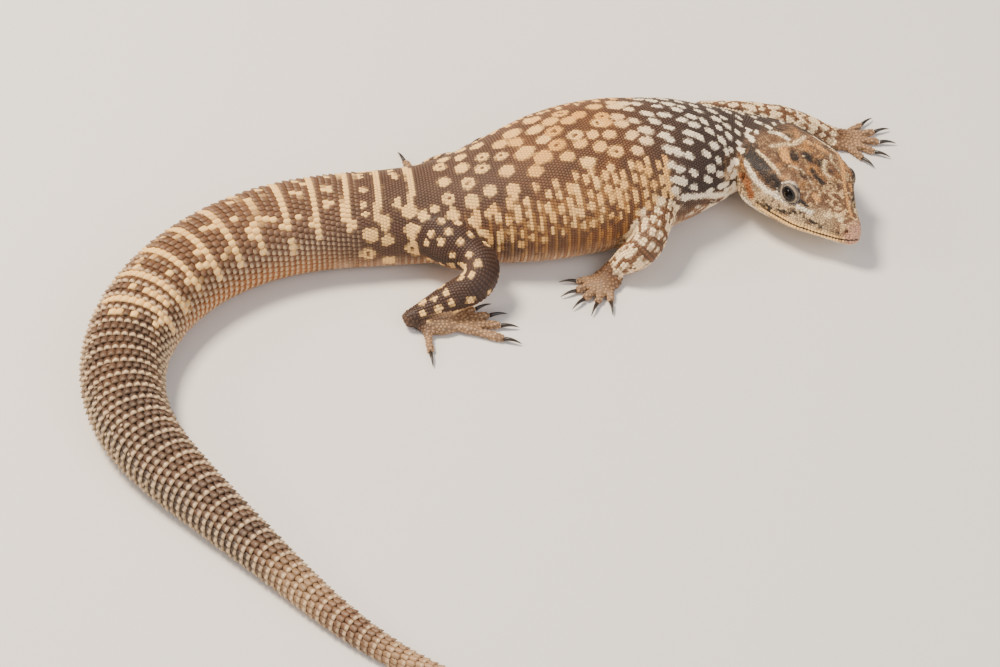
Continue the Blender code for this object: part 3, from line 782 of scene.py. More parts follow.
@dataclass
class Anatomy:
    """Everything that says where flesh is: the body and the four limbs."""

    body: BodyForm
    limbs: list[Limb]

    @classmethod
    def ackie(cls) -> "Anatomy":
        """The animal in its pose.

        Returns:
            Body and limbs, posed as in the photo.
        """
        arm = dict(radii=(7.8, 7.2, 5.6, 5.0, 3.1), palm=(5.4, 4.7, 2.6), palm_ahead=3.4, claw=5.0,
                   digits=((46, 6.4, 1.35), (22, 8.2, 1.4), (0, 9.0, 1.45), (-22, 8.4, 1.4),
                           (-46, 6.6, 1.3)))
        leg = dict(radii=(9.0, 8.0, 5.7, 5.0, 3.2), palm=(7.6, 5.0, 2.9), palm_ahead=5.6, claw=5.2,
                   digits=((34, 8.0, 1.4), (18, 11.0, 1.5), (3, 14.0, 1.55), (-12, 16.0, 1.55),
                           (-76, 10.0, 1.4)))
        limbs = [
            Limb(Corner.FRONT_RIGHT,
                 ((44.15, 67.45, 15.0), (41.95, 48.05, 11.0), (31.85, 45.45, 4.0)),
                 228.0, digit_reach=0.76, **arm),
            Limb(Corner.FRONT_LEFT,
                 ((58.35, 97.45, 14.5), (84.35, 104.45, 10.0), (100.15, 105.95, 3.4)), -3.0, **arm),
            Limb(Corner.REAR_RIGHT,
                 ((-21.85, 53.25, 13.5), (-1.85, 34.25, 12.5), (-25.85, 25.85, 3.9)),
                 -6.0, **leg),
            Limb(Corner.REAR_LEFT,
                 ((-25.35, 68.25, 12.5), (-2.65, 90.45, 12.5), (-27.65, 83.45, 3.9)),
                 40.0, **leg)]
        return cls(BodyForm(Spine()), limbs)


# Meshes --------------------------------------------------------------------


def mesh_object(name: str, points: Array, faces: list,
                smooth_faces: bool = True) -> bpy.types.Object:
    """New object from points in millimetres.

    Args:
        name: Name of the object.
        points: Vertex places in mm.
        faces: Corners of each face.
        smooth_faces: Whether its shading is smooth.

    Returns:
        The object, in the scene.
    """
    mesh = bpy.data.meshes.new(name)
    mesh.from_pydata((np.asarray(points, float) * MM).tolist(), [], faces)
    mesh.update()
    if smooth_faces:
        mesh.shade_smooth()
    item = bpy.data.objects.new(name, mesh)
    bpy.context.scene.collection.objects.link(item)
    return item


def loft(rings: list[Array]) -> tuple[Array, list]:
    """Points and faces of a closed skin over rings, with a pole at each end.

    Args:
        rings: Rings with equal counts, in order.

    Returns:
        Points and faces.
    """
    count = len(rings[0])
    points = np.vstack([*rings, rings[0].mean(axis=0), rings[-1].mean(axis=0)])
    faces = []
    for r in range(len(rings) - 1):
        a = r * count + np.arange(count)
        b = r * count + (np.arange(count) + 1) % count
        faces += np.stack([a, b, b + count, a + count], axis=1).tolist()
    last = (len(rings) - 1) * count
    for k in range(count):
        n = (k + 1) % count
        faces.append((len(points) - 2, n, k))
        faces.append((len(points) - 1, last + k, last + n))
    return points, faces


def vertex_array(mesh: bpy.types.Mesh) -> Array:
    """Vertex places of a mesh, in mm.

    Args:
        mesh: Mesh to read.

    Returns:
        One row for each vertex.
    """
    flat = np.empty(len(mesh.vertices) * 3)
    mesh.vertices.foreach_get("co", flat)
    return flat.reshape(-1, 3) / MM


def set_vertices(mesh: bpy.types.Mesh, points: Array) -> None:
    """Write vertex places given in mm."""
    mesh.vertices.foreach_set("co", (points * MM).ravel())
    mesh.update()


def vertex_normals(mesh: bpy.types.Mesh) -> Array:
    """Smooth normals at the vertices.

    Args:
        mesh: Mesh to read.

    Returns:
        One unit row for each vertex.
    """
    flat = np.empty(len(mesh.vertices) * 3)
    mesh.vertex_normals.foreach_get("vector", flat)
    return flat.reshape(-1, 3)


def store(item: bpy.types.Object, name: str, kind: str, values: Array) -> None:
    """Keep values on a mesh's vertices under a name.

    Args:
        item: Object with the mesh.
        name: Name of the attribute.
        kind: Its type in Blender's terms.
        values: One row for each vertex.
    """
    field_name = {"FLOAT": "value", "FLOAT_VECTOR": "vector", "FLOAT_COLOR": "color"}[kind]
    kept = item.data.attributes.new(name, kind, "POINT")
    kept.data.foreach_set(field_name, np.asarray(values).astype(np.float32).ravel())


def baked(item: bpy.types.Object) -> None:
    """Turn an object's evaluated shape into its mesh and drop its modifiers.

    Args:
        item: Object to change.
    """
    graph = bpy.context.evaluated_depsgraph_get()
    mesh = bpy.data.meshes.new_from_object(item.evaluated_get(graph))
    item.modifiers.clear()
    old = item.data
    item.data = mesh
    bpy.data.meshes.remove(old)


def relaxed(mesh: bpy.types.Mesh, points: Array, weight: Array, steps: int) -> Array:
    """Draw each vertex towards the middle of its neighbours.

    Args:
        mesh: Mesh whose edges are followed.
        points: Places of its vertices in mm.
        weight: How far each vertex goes in one step.
        steps: Number of steps.

    Returns:
        The new places.
    """
    edges = np.empty(len(mesh.edges) * 2, np.int32)
    mesh.edges.foreach_get("vertices", edges)
    edges = edges.reshape(-1, 2)
    count = np.bincount(edges.ravel(), minlength=len(points))
    for _ in range(steps):
        total = np.stack([np.bincount(edges[:, 0], points[edges[:, 1], k], len(points))
                          + np.bincount(edges[:, 1], points[edges[:, 0], k], len(points))
                          for k in range(3)], axis=1)
        points = points + weight[:, None] * (total / count[:, None] - points)
    return points


def triangle_count(mesh: bpy.types.Mesh) -> int:
    """Triangles that the mesh's faces make.

    Args:
        mesh: Mesh to count.

    Returns:
        Number of triangles.
    """
    totals = np.empty(len(mesh.polygons), np.int32)
    mesh.polygons.foreach_get("loop_total", totals)
    return int((totals - 2).sum())


def add_node(tree: bpy.types.NodeTree, kind: str, values: dict | None = None,
             links: dict | None = None, **settings: object) -> bpy.types.Node:
    """Add a node with its settings, input values and incoming links.

    Args:
        tree: Tree that gets the node.
        kind: Node type.
        values: Input values by socket name or index.
        links: Sockets to link from, by input name or index.
        settings: Properties of the node itself.

    Returns:
        The new node.
    """
    node = tree.nodes.new(kind)
    for name, value in settings.items():
        setattr(node, name, value)
    for key, value in (values or {}).items():
        node.inputs[key].default_value = value
    for key, socket in (links or {}).items():
        tree.links.new(socket, node.inputs[key])
    return node


# Markings ------------------------------------------------------------------


@dataclass
class Patch:
    """One spot, bar or stripe: an ellipse on the surface with its own tint."""

    centre: Array
    run: Array
    long: float
    wide: float
    tint: Array
    core: Array | None = None
    soft: float = 0.18


@dataclass
class Stroke:
    """One stripe of the head or neck, or a stroke of painted shade: a line in the world with a
    width and a tint.
    """

    line: Array
    width: float
    tint: Array
    dotted: float = 0.0

    def share(self, points: Array, speckle: Array) -> Array:
        """How far the stripe covers each point.

        Args:
            points: World places in mm.
            speckle: Noise at each point, which breaks up dotted stripes.

        Returns:
            Share of each point, 0 to 1.
        """
        nearest = np.full(len(points), 99.0)
        for start, end in zip(self.line[:-1], self.line[1:]):
            run = end - start
            t = np.clip((points - start) @ run / (run @ run), 0.0, 1.0)
            nearest = np.minimum(nearest, np.linalg.norm(points - start - t[:, None] * run, axis=1))
        inside = 1 - ease(nearest / self.width, 0.75, 1.25)
        return inside * (1 - self.dotted * ease(speckle, -0.1, 0.15))


@dataclass
class Places:
    """Where points lie on the animal, in the terms that the markings use."""

    points: Array
    s: Array
    left: Array
    angle: Array
    height: Array
    head: Array
    limb: Array
    share: Array
    on_limb: Array
    limb_angle: Array
    foot: Array


@dataclass
class Atlas:
    """Finds the place of any point of the surface on the animal."""

    anatomy: Anatomy

    def read(self, points: Array) -> Places:
        """Work out body and limb coordinates of points.

        Args:
            points: World places in mm.

        Returns:
            Where they lie.
        """
        body = self.anatomy.body
        s, left, angle, distance, reach, height = body.around(points)
        body_ratio = distance / reach
        head = body.spine.to_head(points)
        best = np.full(len(points), FAR)
        limb = np.zeros(len(points), int)
        share = np.zeros(len(points))
        around = np.zeros(len(points))
        foot = np.zeros(len(points))
        for index, arm in enumerate(self.anatomy.limbs):
            span, ratio, turn = arm.locate(points)
            middle_line = arm.foot_axes()[0]
            ahead = (points - np.asarray(arm.joints[2])) @ middle_line
            near_foot = np.linalg.norm(points[:, :2] - np.asarray(arm.joints[2])[:2], axis=1)
            in_foot = (near_foot < 30) & (points[:, 2] < 6.5) & (ahead > -6) & (body_ratio > 1.06)
            ratio = np.where(in_foot, np.minimum(ratio, 0.8), ratio)
            better = ratio < best
            best = np.where(better, ratio, best)
            limb = np.where(better, index, limb)
            share = np.where(better, span, share)
            around = np.where(better, turn, around)
            foot = np.where(better, np.where(in_foot, near_foot, 0.0), foot)
        on_limb = 1.0 - ease(best - body_ratio, -0.22, 0.1)
        on_limb = np.where(best > 1.6, 0.0, on_limb)
        return Places(points, s, left, angle, height, head, limb, share, on_limb, around, foot)


def opaque(tints: Array) -> Array:
    """Colours with a fourth value of 1, as meshes keep them."""
    return np.column_stack([tints, np.ones(len(tints))])


def tinted(hexes: str) -> Array:
    """Field of a dataclass that starts as one colour."""
    return field(default_factory=lambda: linear(hexes))


@dataclass
class Markings:
    """Colours of the animal, with painted shade in the head's hollows and before the far eye, the
    same for the skin and for each scale.
    """

    anatomy: Anatomy
    atlas: Atlas
    seed: int = 11
    # Spacing in mm of the tail's bars and of the flank's and belly's rows, judged from the photo.
    bar_gap: float = 9.6
    flank_row: float = 2.9
    belly_row: float = 1.9
    back: Array = tinted("#644936")
    back_warm: Array = tinted("#775232")
    nape: Array = tinted("#4C3B31")
    flank: Array = tinted("#B08560")
    belly: Array = tinted("#CDB294")
    cream: Array = tinted("#EFC786")
    white: Array = tinted("#EFE0C6")
    amber: Array = tinted("#DCA350")
    tail_brown: Array = tinted("#76563D")
    tail_rust: Array = tinted("#98632F")
    tail_light: Array = tinted("#C7A27A")
    tail_dark: Array = tinted("#45342A")
    thigh: Array = tinted("#4E3424")
    arm: Array = tinted("#7B5839")
    toe: Array = tinted("#B39270")
    crown: Array = tinted("#7A5A3F")
    patches: list[Patch] = field(default_factory=list)
    strokes: list[Stroke] = field(default_factory=list)

    def __post_init__(self) -> None:
        """Lay out the stripes, spots and bars."""
        rng = np.random.default_rng(self.seed)
        self.strokes += self.head_strokes()
        self.strokes += self.neck_strokes()
        self.patches += self.trunk_spots(rng)
        self.patches += self.tail_bars(rng)
        self.patches += self.limb_spots(rng)

    def head_strokes(self) -> list[Stroke]:
        """Stripes and blotches of the head, and one stroke of painted shade on the far side, in
        head coordinates, most on both sides.

        Returns:
            The stripes, in the order they are laid.
        """
        white, cream = self.white, linear("#E3CBA2")
        dark, tan, rust = linear("#2E231C"), linear("#D3A266"), linear("#9C6334")
        both = (
            (((27.6, 16.5, 5.5), (24.8, 15.3, 5.4), (22.2, 13.9, 5.1), (17.5, 12.4, 6.7),
              (15, 10.9, 7.7)), 0.75, dark, 0.75),
            (((13.9, 10.3, 6.5), (10.8, 8.1, 5.6), (7.2, 5.9, 4.7), (4.5, 4.4, 4.9)),
             0.6, dark, 0.7),
            (((16.3, 11.7, 12.4), (15.2, 10.4, 11.0), (13.9, 9.6, 10.1)), 0.6, dark, 0.0),
            (((34.0, 16.9, 3.7), (30.6, 16.8, 3.1), (27.9, 15.3, 2.1), (25.2, 14.2, 1.7)),
             1.25, white, 0.15),
            (((16.2, 11.4, 9.2), (14.3, 10.2, 9.0), (12.6, 8.9, 8.6)), 0.8, white, 0.0),
            (((36.4, 15.2, 10.0), (32.2, 17.5, 9.4), (30.4, 17.2, 6.8)), 1.5, rust, 0.2),
            (((37.1, 15.3, 14.8), (33.0, 16.5, 13.2), (29.6, 16.3, 11.6), (26.5, 15.5, 10.4),
              (22.5, 13.9, 9.8)), 0.95, white, 0.1),
            (((40.5, 12.4, 16.2), (34.2, 14.2, 16.2), (30.3, 14.6, 15.7), (27.0, 14.5, 14.7),
              (24.6, 14.1, 13.4)), 2.1, dark, 0.25),
            (((37.0, 11.3, 17.4), (33.9, 11.5, 17.4), (30.1, 12.0, 17.2), (26.3, 12.4, 16.7),
              (23.5, 13.0, 15.6)), 0.62, cream, 0.0),
            (((25.5, 8.3, 17.8), (23.0, 6.4, 17.7), (19.8, 5.9, 17.0), (16.4, 6.5, 15.5),
              (15.0, 6.7, 14.7)), 0.5, cream, 0.2),
            (((32.4, 5.4, 19.1), (30.2, 6.6, 18.6), (27.8, 7.4, 18.3)), 1.35, tan, 0.35),
            (((13.9, 7.4, 13.7), (12.6, 7.0, 12.9)), 1.0, tan, 0.3),
            (((8.9, 6.2, 9.0), (8.2, 5.4, 9.5)), 1.0, cream, 0.4),
            (((6.6, 3.7, 10.0), (5.4, 3.6, 9.0)), 0.9, cream, 0.4))
        single = (
            (((29.4, -3.5, 19.1), (27.1, -5.0, 18.6)), 1.4, dark, 0.3),
            (((27.0, -0.5, 18.9), (24.1, 0.1, 18.3), (22.5, 1.5, 17.9)), 1.7, dark, 0.35),
            (((20.9, -3.0, 17.4), (18.6, -3.2, 16.6), (16.5, -2.8, 15.6)), 1.1, dark, 0.3),
            (((29.0, -2.7, 19.1), (28.8, -2.5, 19.1)), 0.5, cream, 0.0),
            (((27.0, -1.6, 18.9), (26.8, -1.4, 18.9)), 0.5, cream, 0.0),
            (((23.1, 4.1, 17.9), (21.2, 1.7, 17.5), (19.2, 0.5, 16.8), (17.6, 1.2, 16.1)),
             0.7, cream, 0.2),
            (((35.7, -6.8, 18.8), (34.1, -3.1, 19.5), (33.0, -0.9, 19.6), (33.6, 2.5, 19.5),
              (36.3, 7.0, 18.8)), 1.0, cream, 0.45),
            (((41.4, -2.4, 19.6), (39.2, -0.8, 19.7), (35.8, -0.5, 19.7)), 1.0, white, 0.4),
            # Dark stroke before the left eye, on the far side only: painted shade on the loreal.
            (((20.7, 12.7, 15.2), (14.1, 9.0, 13.1), (8.1, 4.2, 10.6)), 1.0, dark, 0.5),
            (((27.0, 12.8, 16.5), (20.0, 8.5, 16.8), (15.3, 5.5, 15.0), (9.6, 2.4, 12.0),
              (4.9, 0.4, 9.9)), 0.7, tan, 0.2))
        spine = self.anatomy.body.spine
        strokes = [Stroke(spine.from_head(np.array(line) * (1, side, 1)), width, tint, dotted)
                   for line, width, tint, dotted in both for side in (1, -1)]
        return strokes + [Stroke(spine.from_head(line), width, tint, dotted)
                          for line, width, tint, dotted in single]

    def neck_strokes(self) -> list[Stroke]:
        """Stripes of the neck, as s, left and up of the spine, on both sides.

        Returns:
            The stripes, in the order they are laid.
        """
        rows = (
            (((78, 19.4, 20.0), (70.5, 18.2, 16.6), (60, 14.6, 12.0), (50, 12.9, 9.0),
              (43, 14.0, 8.0)), 1.7, linear("#473931"), 0.2),
            (((78, 19.6, 14.0), (70, 17.6, 10.0), (62, 14.6, 5.6), (54, 13.4, 3.6)),
             0.9, linear("#5A4232"), 0.3),
            (((80, 20.6, 17.4), (71, 18.7, 13.4), (62, 14.8, 8.4), (52, 13.4, 5.8),
              (44, 14.2, 4.8)), 1.0, self.white, 0.05))
        spine = self.anatomy.body.spine
        strokes = []
        for line, width, tint, dotted in rows:
            for side in (1, -1):
                world = []
                for s, left, up in line:
                    _, across, rise = spine.axes(s)
                    world.append(spine.origin(s)[0] + side * left * across[0] + up * rise[0])
                strokes.append(Stroke(np.array(world), width, tint, dotted))
        return strokes

    def surface(self, s: float, arc: float) -> tuple[Array, Array, Array]:
        """World place, run towards the tail and left-turn at an arc from the back.

        Args:
            s: Place along the spine.
            arc: Distance down the side from the back, left positive.

        Returns:
            Place, direction to the tail and direction down the side.
        """
        ring = self.anatomy.body.world_ring(s)
        half = len(ring) // 2
        side = ring[:half + 1] if arc >= 0 else np.vstack([ring[:1], ring[:half - 1:-1]])
        length = run_length(side)
        reach = min(abs(arc), length[-1] * 0.98)
        place = point_along(reach, length, side)
        ahead = point_along(min(reach + 0.6, length[-1]), length, side)
        run = -self.anatomy.body.spine.axes(s)[0][0]
        return place, run, unit(ahead - place)

    def trunk_spots(self, rng: np.random.Generator) -> list[Patch]:
        """Rows of spots from the neck to the tail's root.

        Args:
            rng: Source of chance.

        Returns:
            The spots, with the flank's dabs.
        """
        rows = []
        s = 47.0
        row = 0
        while s < 176.0:
            pitch = float(smooth(s, (44, 62, 80, 100, 125, 172), (3.6, 4.0, 4.4, 5.0, 5.8, 6.1)))
            limit = float(smooth(s, (44, 100, 172), (25, 31, 27)))
            count = int(26 / pitch) + 2
            for k in range(-count, count + 1):
                arc = (k + 0.5 * (row % 2)) * pitch * 1.06 + rng.normal(0, 0.13) * pitch
                at = s + rng.normal(0, 0.16 if s < 120 else 0.11) * pitch
                among_bars = at > 152 and abs(arc) < 10
                among_dabs = 84 < at < 138 and abs(arc) > 13.5
                if abs(arc) <= limit and not among_bars and not among_dabs:
                    rows.append(self.trunk_spot(rng, at, arc, pitch))
            s += pitch
            row += 1
        return rows + self.flank_dabs(rng)

    def flank_dabs(self, rng: np.random.Generator) -> list[Patch]:
        """Upright dabs that crowd on the flank, below the spots of the back.

        Args:
            rng: Source of chance.

        Returns:
            The dabs of both sides.
        """
        rows = []
        for row, at in enumerate(np.arange(84.0, 141.0, 2.8)):
            for arc in np.arange(15.4 + 1.9 * (row % 2), 32.0, 3.8):
                for side in (1, -1):
                    place, _, down = self.surface(at + rng.normal(0, 0.35),
                                                  side * (arc + rng.normal(0, 0.6)))
                    tint = blend(self.cream, self.amber, rng.uniform(0.0, 0.5))
                    share = rng.uniform(0.8, 1.15) * (1.0 - 0.2 * float(ease(arc, 22, 31)))
                    rows.append(Patch(place, down, 1.75 * share, 1.0 * share, tint, soft=0.25))
        return rows

    def trunk_spot(self, rng: np.random.Generator, s: float, arc: float, pitch: float) -> Patch:
        """One spot, shaped and tinted by where it lies.

        Args:
            rng: Source of chance.
            s: Place along the spine.
            arc: Distance down the side from the back.
            pitch: Room that the spot has.

        Returns:
            The spot: slanting dashes on the shoulders, round or ringed spots behind them.
        """
        place, run, down = self.surface(s, arc)
        mid = float(ease(s, 78, 98) * (1 - ease(s, 122, 134)))
        rear = float(ease(s, 120, 136))
        fore = max(0.0, 1 - mid - rear)
        sway = rng.normal(0.0, 0.22) + 0.5 * fore * math.copysign(1.0, arc)
        direction = run * math.cos(sway) + down * math.sin(sway)
        size = rng.uniform(0.86, 1.14) * (1 - 0.22 * (1 - float(ease(s, 52, 66))))
        low = float(ease(abs(arc), 14, 22))
        long = pitch * (0.47 * fore + (0.44 - 0.22 * low) * mid + 0.33 * rear) * size
        wide = pitch * (0.26 * fore + (0.36 + 0.16 * low) * mid + 0.33 * rear) * size
        warm = blend(self.cream, self.amber, mid * rng.uniform(0.0, 0.8))
        tint = warm * (1 - fore) + self.white * fore
        ringed = rng.random() < 0.26 * rear + 0.3 * mid and wide > 1.6
        return Patch(place, direction, long, wide, tint, self.back_warm if ringed else None)

    def tail_bars(self, rng: np.random.Generator) -> list[Patch]:
        """Thin bars across the tail's root with dots between them.

        Args:
            rng: Source of chance.

        Returns:
            The bars, as rows of round patches, and the dots.
        """
        rows = []
        for s in np.arange(156.8, 262.0, self.bar_gap):
            for arc in np.arange(-11.0, 11.1, 1.4):
                place, run, _ = self.surface(s + 0.04 * arc ** 2 * 0.2, arc)
                rows.append(Patch(place, run, 1.1, 1.1, self.cream))
            for arc in rng.uniform(-11, 11, 5):
                place, run, _ = self.surface(s + self.bar_gap / 2 + rng.normal(0, 0.9), arc)
                rows.append(Patch(place, run, 1.15, 1.1, self.cream))
            for arc in (-14.5, 14.5):
                place, run, _ = self.surface(s + rng.normal(0, 1.0), arc + rng.normal(0, 1.5))
                rows.append(Patch(place, run, 1.3, 2.6, self.cream))
        return rows

    def limb_spots(self, rng: np.random.Generator) -> list[Patch]:
        """Round spots on the hind legs and blotches on the arms.

        Args:
            rng: Source of chance.

        Returns:
            The spots of all four limbs.
        """
        rows = []
        for limb in self.anatomy.limbs:
            pitch = 2.7 if limb.front else 4.4
            length = run_length(limb.centres)
            for row, along in enumerate(np.arange(1.0, length[-1], pitch)):
                k = int(np.argmin(np.abs(length - along)))
                centre, run = limb.centres[k], limb.runs[k]
                radius = float(limb.radius(limb.marks[k]))
                side, rise = square_axes(run)
                count = max(4, round(2 * math.pi * radius / pitch))
                for j in range(count):
                    turn = 2 * math.pi * (j + 0.5 * (row % 2)) / count + rng.normal(0, 0.1)
                    out = side * math.cos(turn) + rise * math.sin(turn)
                    place = centre + out * radius + run * rng.normal(0, 0.3)
                    if limb.front:
                        size = rng.uniform(0.9, 1.35)
                        tint = blend(self.white, self.cream, 0.45)
                        rows.append(Patch(place, run, 1.3 * size, 0.95 * size, tint))
                    elif rng.random() < 0.9:
                        size = rng.uniform(0.8, 1.1)
                        rows.append(Patch(place, run, 1.3 * size, 1.3 * size, self.cream))
        return rows

    def ground(self, at: Places) -> Array:
        """Colours under the spots.

        Args:
            at: Where the points lie.

        Returns:
            Rows of colours.
        """
        s = at.s
        n1 = soft_noise(at.points, 4.0, 3)
        n2 = soft_noise(at.points, 1.6, 5)
        mid = ease(s, 84, 98) * (1 - ease(s, 120, 136))
        bars = np.sin(2 * math.pi * (s + 0.7 * n1) / self.flank_row)
        side = ease(np.abs(at.angle), 0.75, 1.15) * ease(s, 80, 94) * (1 - ease(s, 146, 158))
        streak = 0.5 + 0.5 * np.sin(2 * math.pi * (s + 0.3 * n1) / self.belly_row)
        throat = (1 - ease(s, 66, 88)) * (1 - ease(at.height, 0.3, 0.5))
        marble = ease(soft_noise(at.points, 2.4, 51) + 0.5 * n2, -0.15, 0.2)
        colour = layered(
            self.back,
            (self.back_warm, mid * (0.75 + 0.3 * n1)),
            (self.nape, 1 - ease(s, 70, 92)),
            (self.amber * 0.95, 0.3 * side * ease(bars + 0.9 * n2, 0.1, 0.7)),
            (linear("#6F4526"), 0.45 * side * ease(0.8 * n2 - bars, 0.1, 0.7)),
            (blend(self.flank * 0.85, self.belly, streak),
             (1 - ease(at.height, 0.16, 0.42)) * (0.85 + 0.2 * n2)),
            (blend(linear("#8A6646"), linear("#F0DDBD"), marble), throat),
            (blend(self.tail_brown, self.tail_rust, 1 - ease(at.height, 0.30, 0.62)),
             ease(s, 160, 205)))
        colour = self.tail_rings(at, colour)
        pale = (1 - ease(at.height, 0.04, 0.2)) * (1 - 0.75 * ease(s, 160, 190))
        colour = self.limb_ground(at, blend(colour, self.belly, pale))
        return colour * (1 + 0.10 * n1 + 0.08 * n2)[:, None]

    def tail_rings(self, at: Places, colour: Array) -> Array:
        """Alternating rings round the bend, darker bands towards the tip.

        Args:
            at: Where the points lie.
            colour: Rows of colours so far.

        Returns:
            Rows of colours.
        """
        s = at.s
        outer = ease(at.left, 1.0, 4.5) * ease(s, 268, 290) * (1 - ease(s, 395, 430))
        rings = layered(
            self.tail_brown,
            (self.tail_dark * 1.1, 0.62 + 0.3 * soft_noise(at.points, 6.0, 31)),
            (self.tail_dark, 0.85 * outer * (at.height < 0.75)))
        far = blend(self.tail_brown, self.tail_light * 0.75, 0.5 + 0.5 * np.sin(s / 7.0))
        return layered(colour, (rings, ease(s, 236, 262)), (far, ease(s, 345, 375) * 0.8))

    def pale_edge(self, points: Array, whorls: list[float]) -> Array:
        """How pale the raised rear edge of each tail scute is.

        Args:
            points: Roots of the scutes, in mm.
            whorls: Places of the whorls along the spine.

        Returns:
            Share of each scute, 0 to 1.
        """
        at = self.atlas.read(points)
        s = at.s
        ring = np.round(np.interp(s, whorls, np.arange(len(whorls)))) % 2
        top = ring * ease(s, 226, 250) * (1 - 0.5 * ease(s, 380, 430))
        low = 0.8 * (1 - ease(at.height, 0.6, 0.84)) * (1 - 0.6 * ease(s, 262, 280))
        low = low * (0.35 + 0.65 * ease(s, 170, 192))
        outer = ease(at.left, 1.0, 4.5) * ease(s, 268, 290)
        return np.clip(np.maximum(0.95 * top, np.maximum(low, 0.7 * outer)), 0.12, 1.0)

    def limb_ground(self, at: Places, colour: Array) -> Array:
        """Ground of arms, legs and toes.

        Args:
            at: Where the points lie.
            colour: Rows of colours so far.

        Returns:
            Rows of colours.
        """
        front = at.limb < 2
        leg = np.where(front[:, None], self.arm, self.thigh)
        under = np.where(front[:, None], self.belly, self.flank)
        leg = layered(
            leg,
            (under, (1 - ease(np.sin(at.limb_angle), -0.85, -0.35)) * (at.share < 1.8)),
            (self.toe, ease(at.foot, 2.0, 9.0) * 0.85))
        return blend(colour, leg, at.on_limb)

    def head_colours(self, at: Places, colour: Array) -> Array:
        """Lay the head's ground, lips and lids, with painted shade in the mouth's groove, the
        nostrils and the ears, over the body's colours.

        Args:
            at: Where the points lie.
            colour: Rows of colours so far.

        Returns:
            Rows of colours.
        """
        form = HeadForm()
        x, y, z = at.head.T
        side = np.abs(y)
        patchy = soft_noise(at.points, 2.2, 9)
        dots = soft_noise(at.points, 0.9, 15)
        cheek = (1 - ease(z, 8.0, 12.0)) * ease(side, 3, 7)
        gap = np.abs(z - table(x, form.mouth))
        lip = (1 - ease(gap, 0.9, 1.8)) * (1 - ease(x, 26, 30))
        folded = form.folded(at.head)
        ratio = form.eye_ratio(folded)
        nostril = np.linalg.norm(folded - form.nostril, axis=1)
        lid_skin = blend(linear("#3F3733"), linear("#8C8177"),
                         ease(np.sin(2 * math.pi * ratio / form.lid_fold), -0.3, 0.3))
        lids = layered(
            lid_skin,
            (self.white, 0.9 * ease(ratio, 1.5, 1.6) * ease(folded[:, 0], 18.5, 20.5)),
            (linear("#B7A286"), 0.8 * ease(ratio, 1.18, 1.26) * (1 - ease(ratio, 1.34, 1.42))))
        head = layered(
            self.crown,
            (linear("#B58349"), 0.75 * ease(patchy, 0.15, 0.7) * ease(x, 14, 22)),
            (linear("#422D20"), 0.9 * ease(-patchy, 0.05, 0.5) * ease(x, 10, 18)),
            (linear("#E8C795"), 0.75 * ease(dots, 0.02, 0.35) * (1 - 0.7 * ease(x, 12, 20))),
            (linear("#D8BE96"), cheek * (0.8 + 0.3 * patchy)),
            (linear("#5E4636"), 0.8 * cheek * ease(dots, 0.1, 0.35)),
            (linear("#C99F84"), 1 - ease(x, 1.0, 4.5)),
            (self.cream * 1.02, lip * 0.85 * ease(x, 2, 6)),
            # Dark along the mouth's groove: painted shade.
            (linear("#2E231D"), (1 - ease(gap, 0.16, 0.4)) * (1 - ease(x, 25, 27))),
            (linear("#E2D2B6"), 1 - ease(z, 1.0, 2.4)),
            (lids, 1 - ease(ratio, 1.75, 1.9)),
            (linear("#0B0908"), 1 - ease(ratio, 1.04, 1.16)),
            # Dark red-brown in the nostril's pit: painted shade.
            (linear("#5E2D22"), 1 - ease(nostril, 0.5, 0.95)),
            # Dark in the ear's cup: painted shade.
            (linear("#2A1C16"), 1 - ease(form.ear_ratio(folded), 0.6, 0.95)))
        return blend(colour, head, (1 - ease(at.s, 40, 50)) * (1 - at.on_limb))

    def colours(self, points: Array) -> Array:
        """Linear colour for each point of the surface.

        Args:
            points: Places in mm.

        Returns:
            One row of three values for each point.
        """
        at = self.atlas.read(points)
        colour = self.head_colours(at, self.ground(at))
        tree = kd_tree(points)
        fore = np.flatnonzero(at.s < 90)
        speckle = soft_noise(points[fore], 0.75, 21)
        for stroke in self.strokes:
            colour[fore] = blend(colour[fore], stroke.tint, stroke.share(points[fore], speckle))
        edge = 1 + 0.16 * soft_noise(points, 1.7, 23)
        for patch in self.patches:
            reach = max(patch.long, patch.wide) * (1 + patch.soft) + 0.2
            hits = [index for _, index, _ in tree.find_range(Vector(patch.centre), reach)]
            if not hits:
                continue
            offset = points[hits] - patch.centre
            along = offset @ patch.run
            across = np.sqrt(np.maximum(np.sum(offset ** 2, axis=1) - along ** 2, 0.0))
            ratio = np.hypot(along / patch.long, across / patch.wide) * edge[hits]
            inside = 1 - ease(ratio, 1 - patch.soft, 1 + patch.soft)
            colour[hits] = blend(colour[hits], patch.tint, inside)
            if patch.core is not None:
                colour[hits] = blend(colour[hits], patch.core, 1 - ease(ratio, 0.2, 0.42))
        return np.clip(1.22 * np.clip(colour, 0.0, 1.0) ** 1.2, 0.0, 1.0)


# Skin ----------------------------------------------------------------------


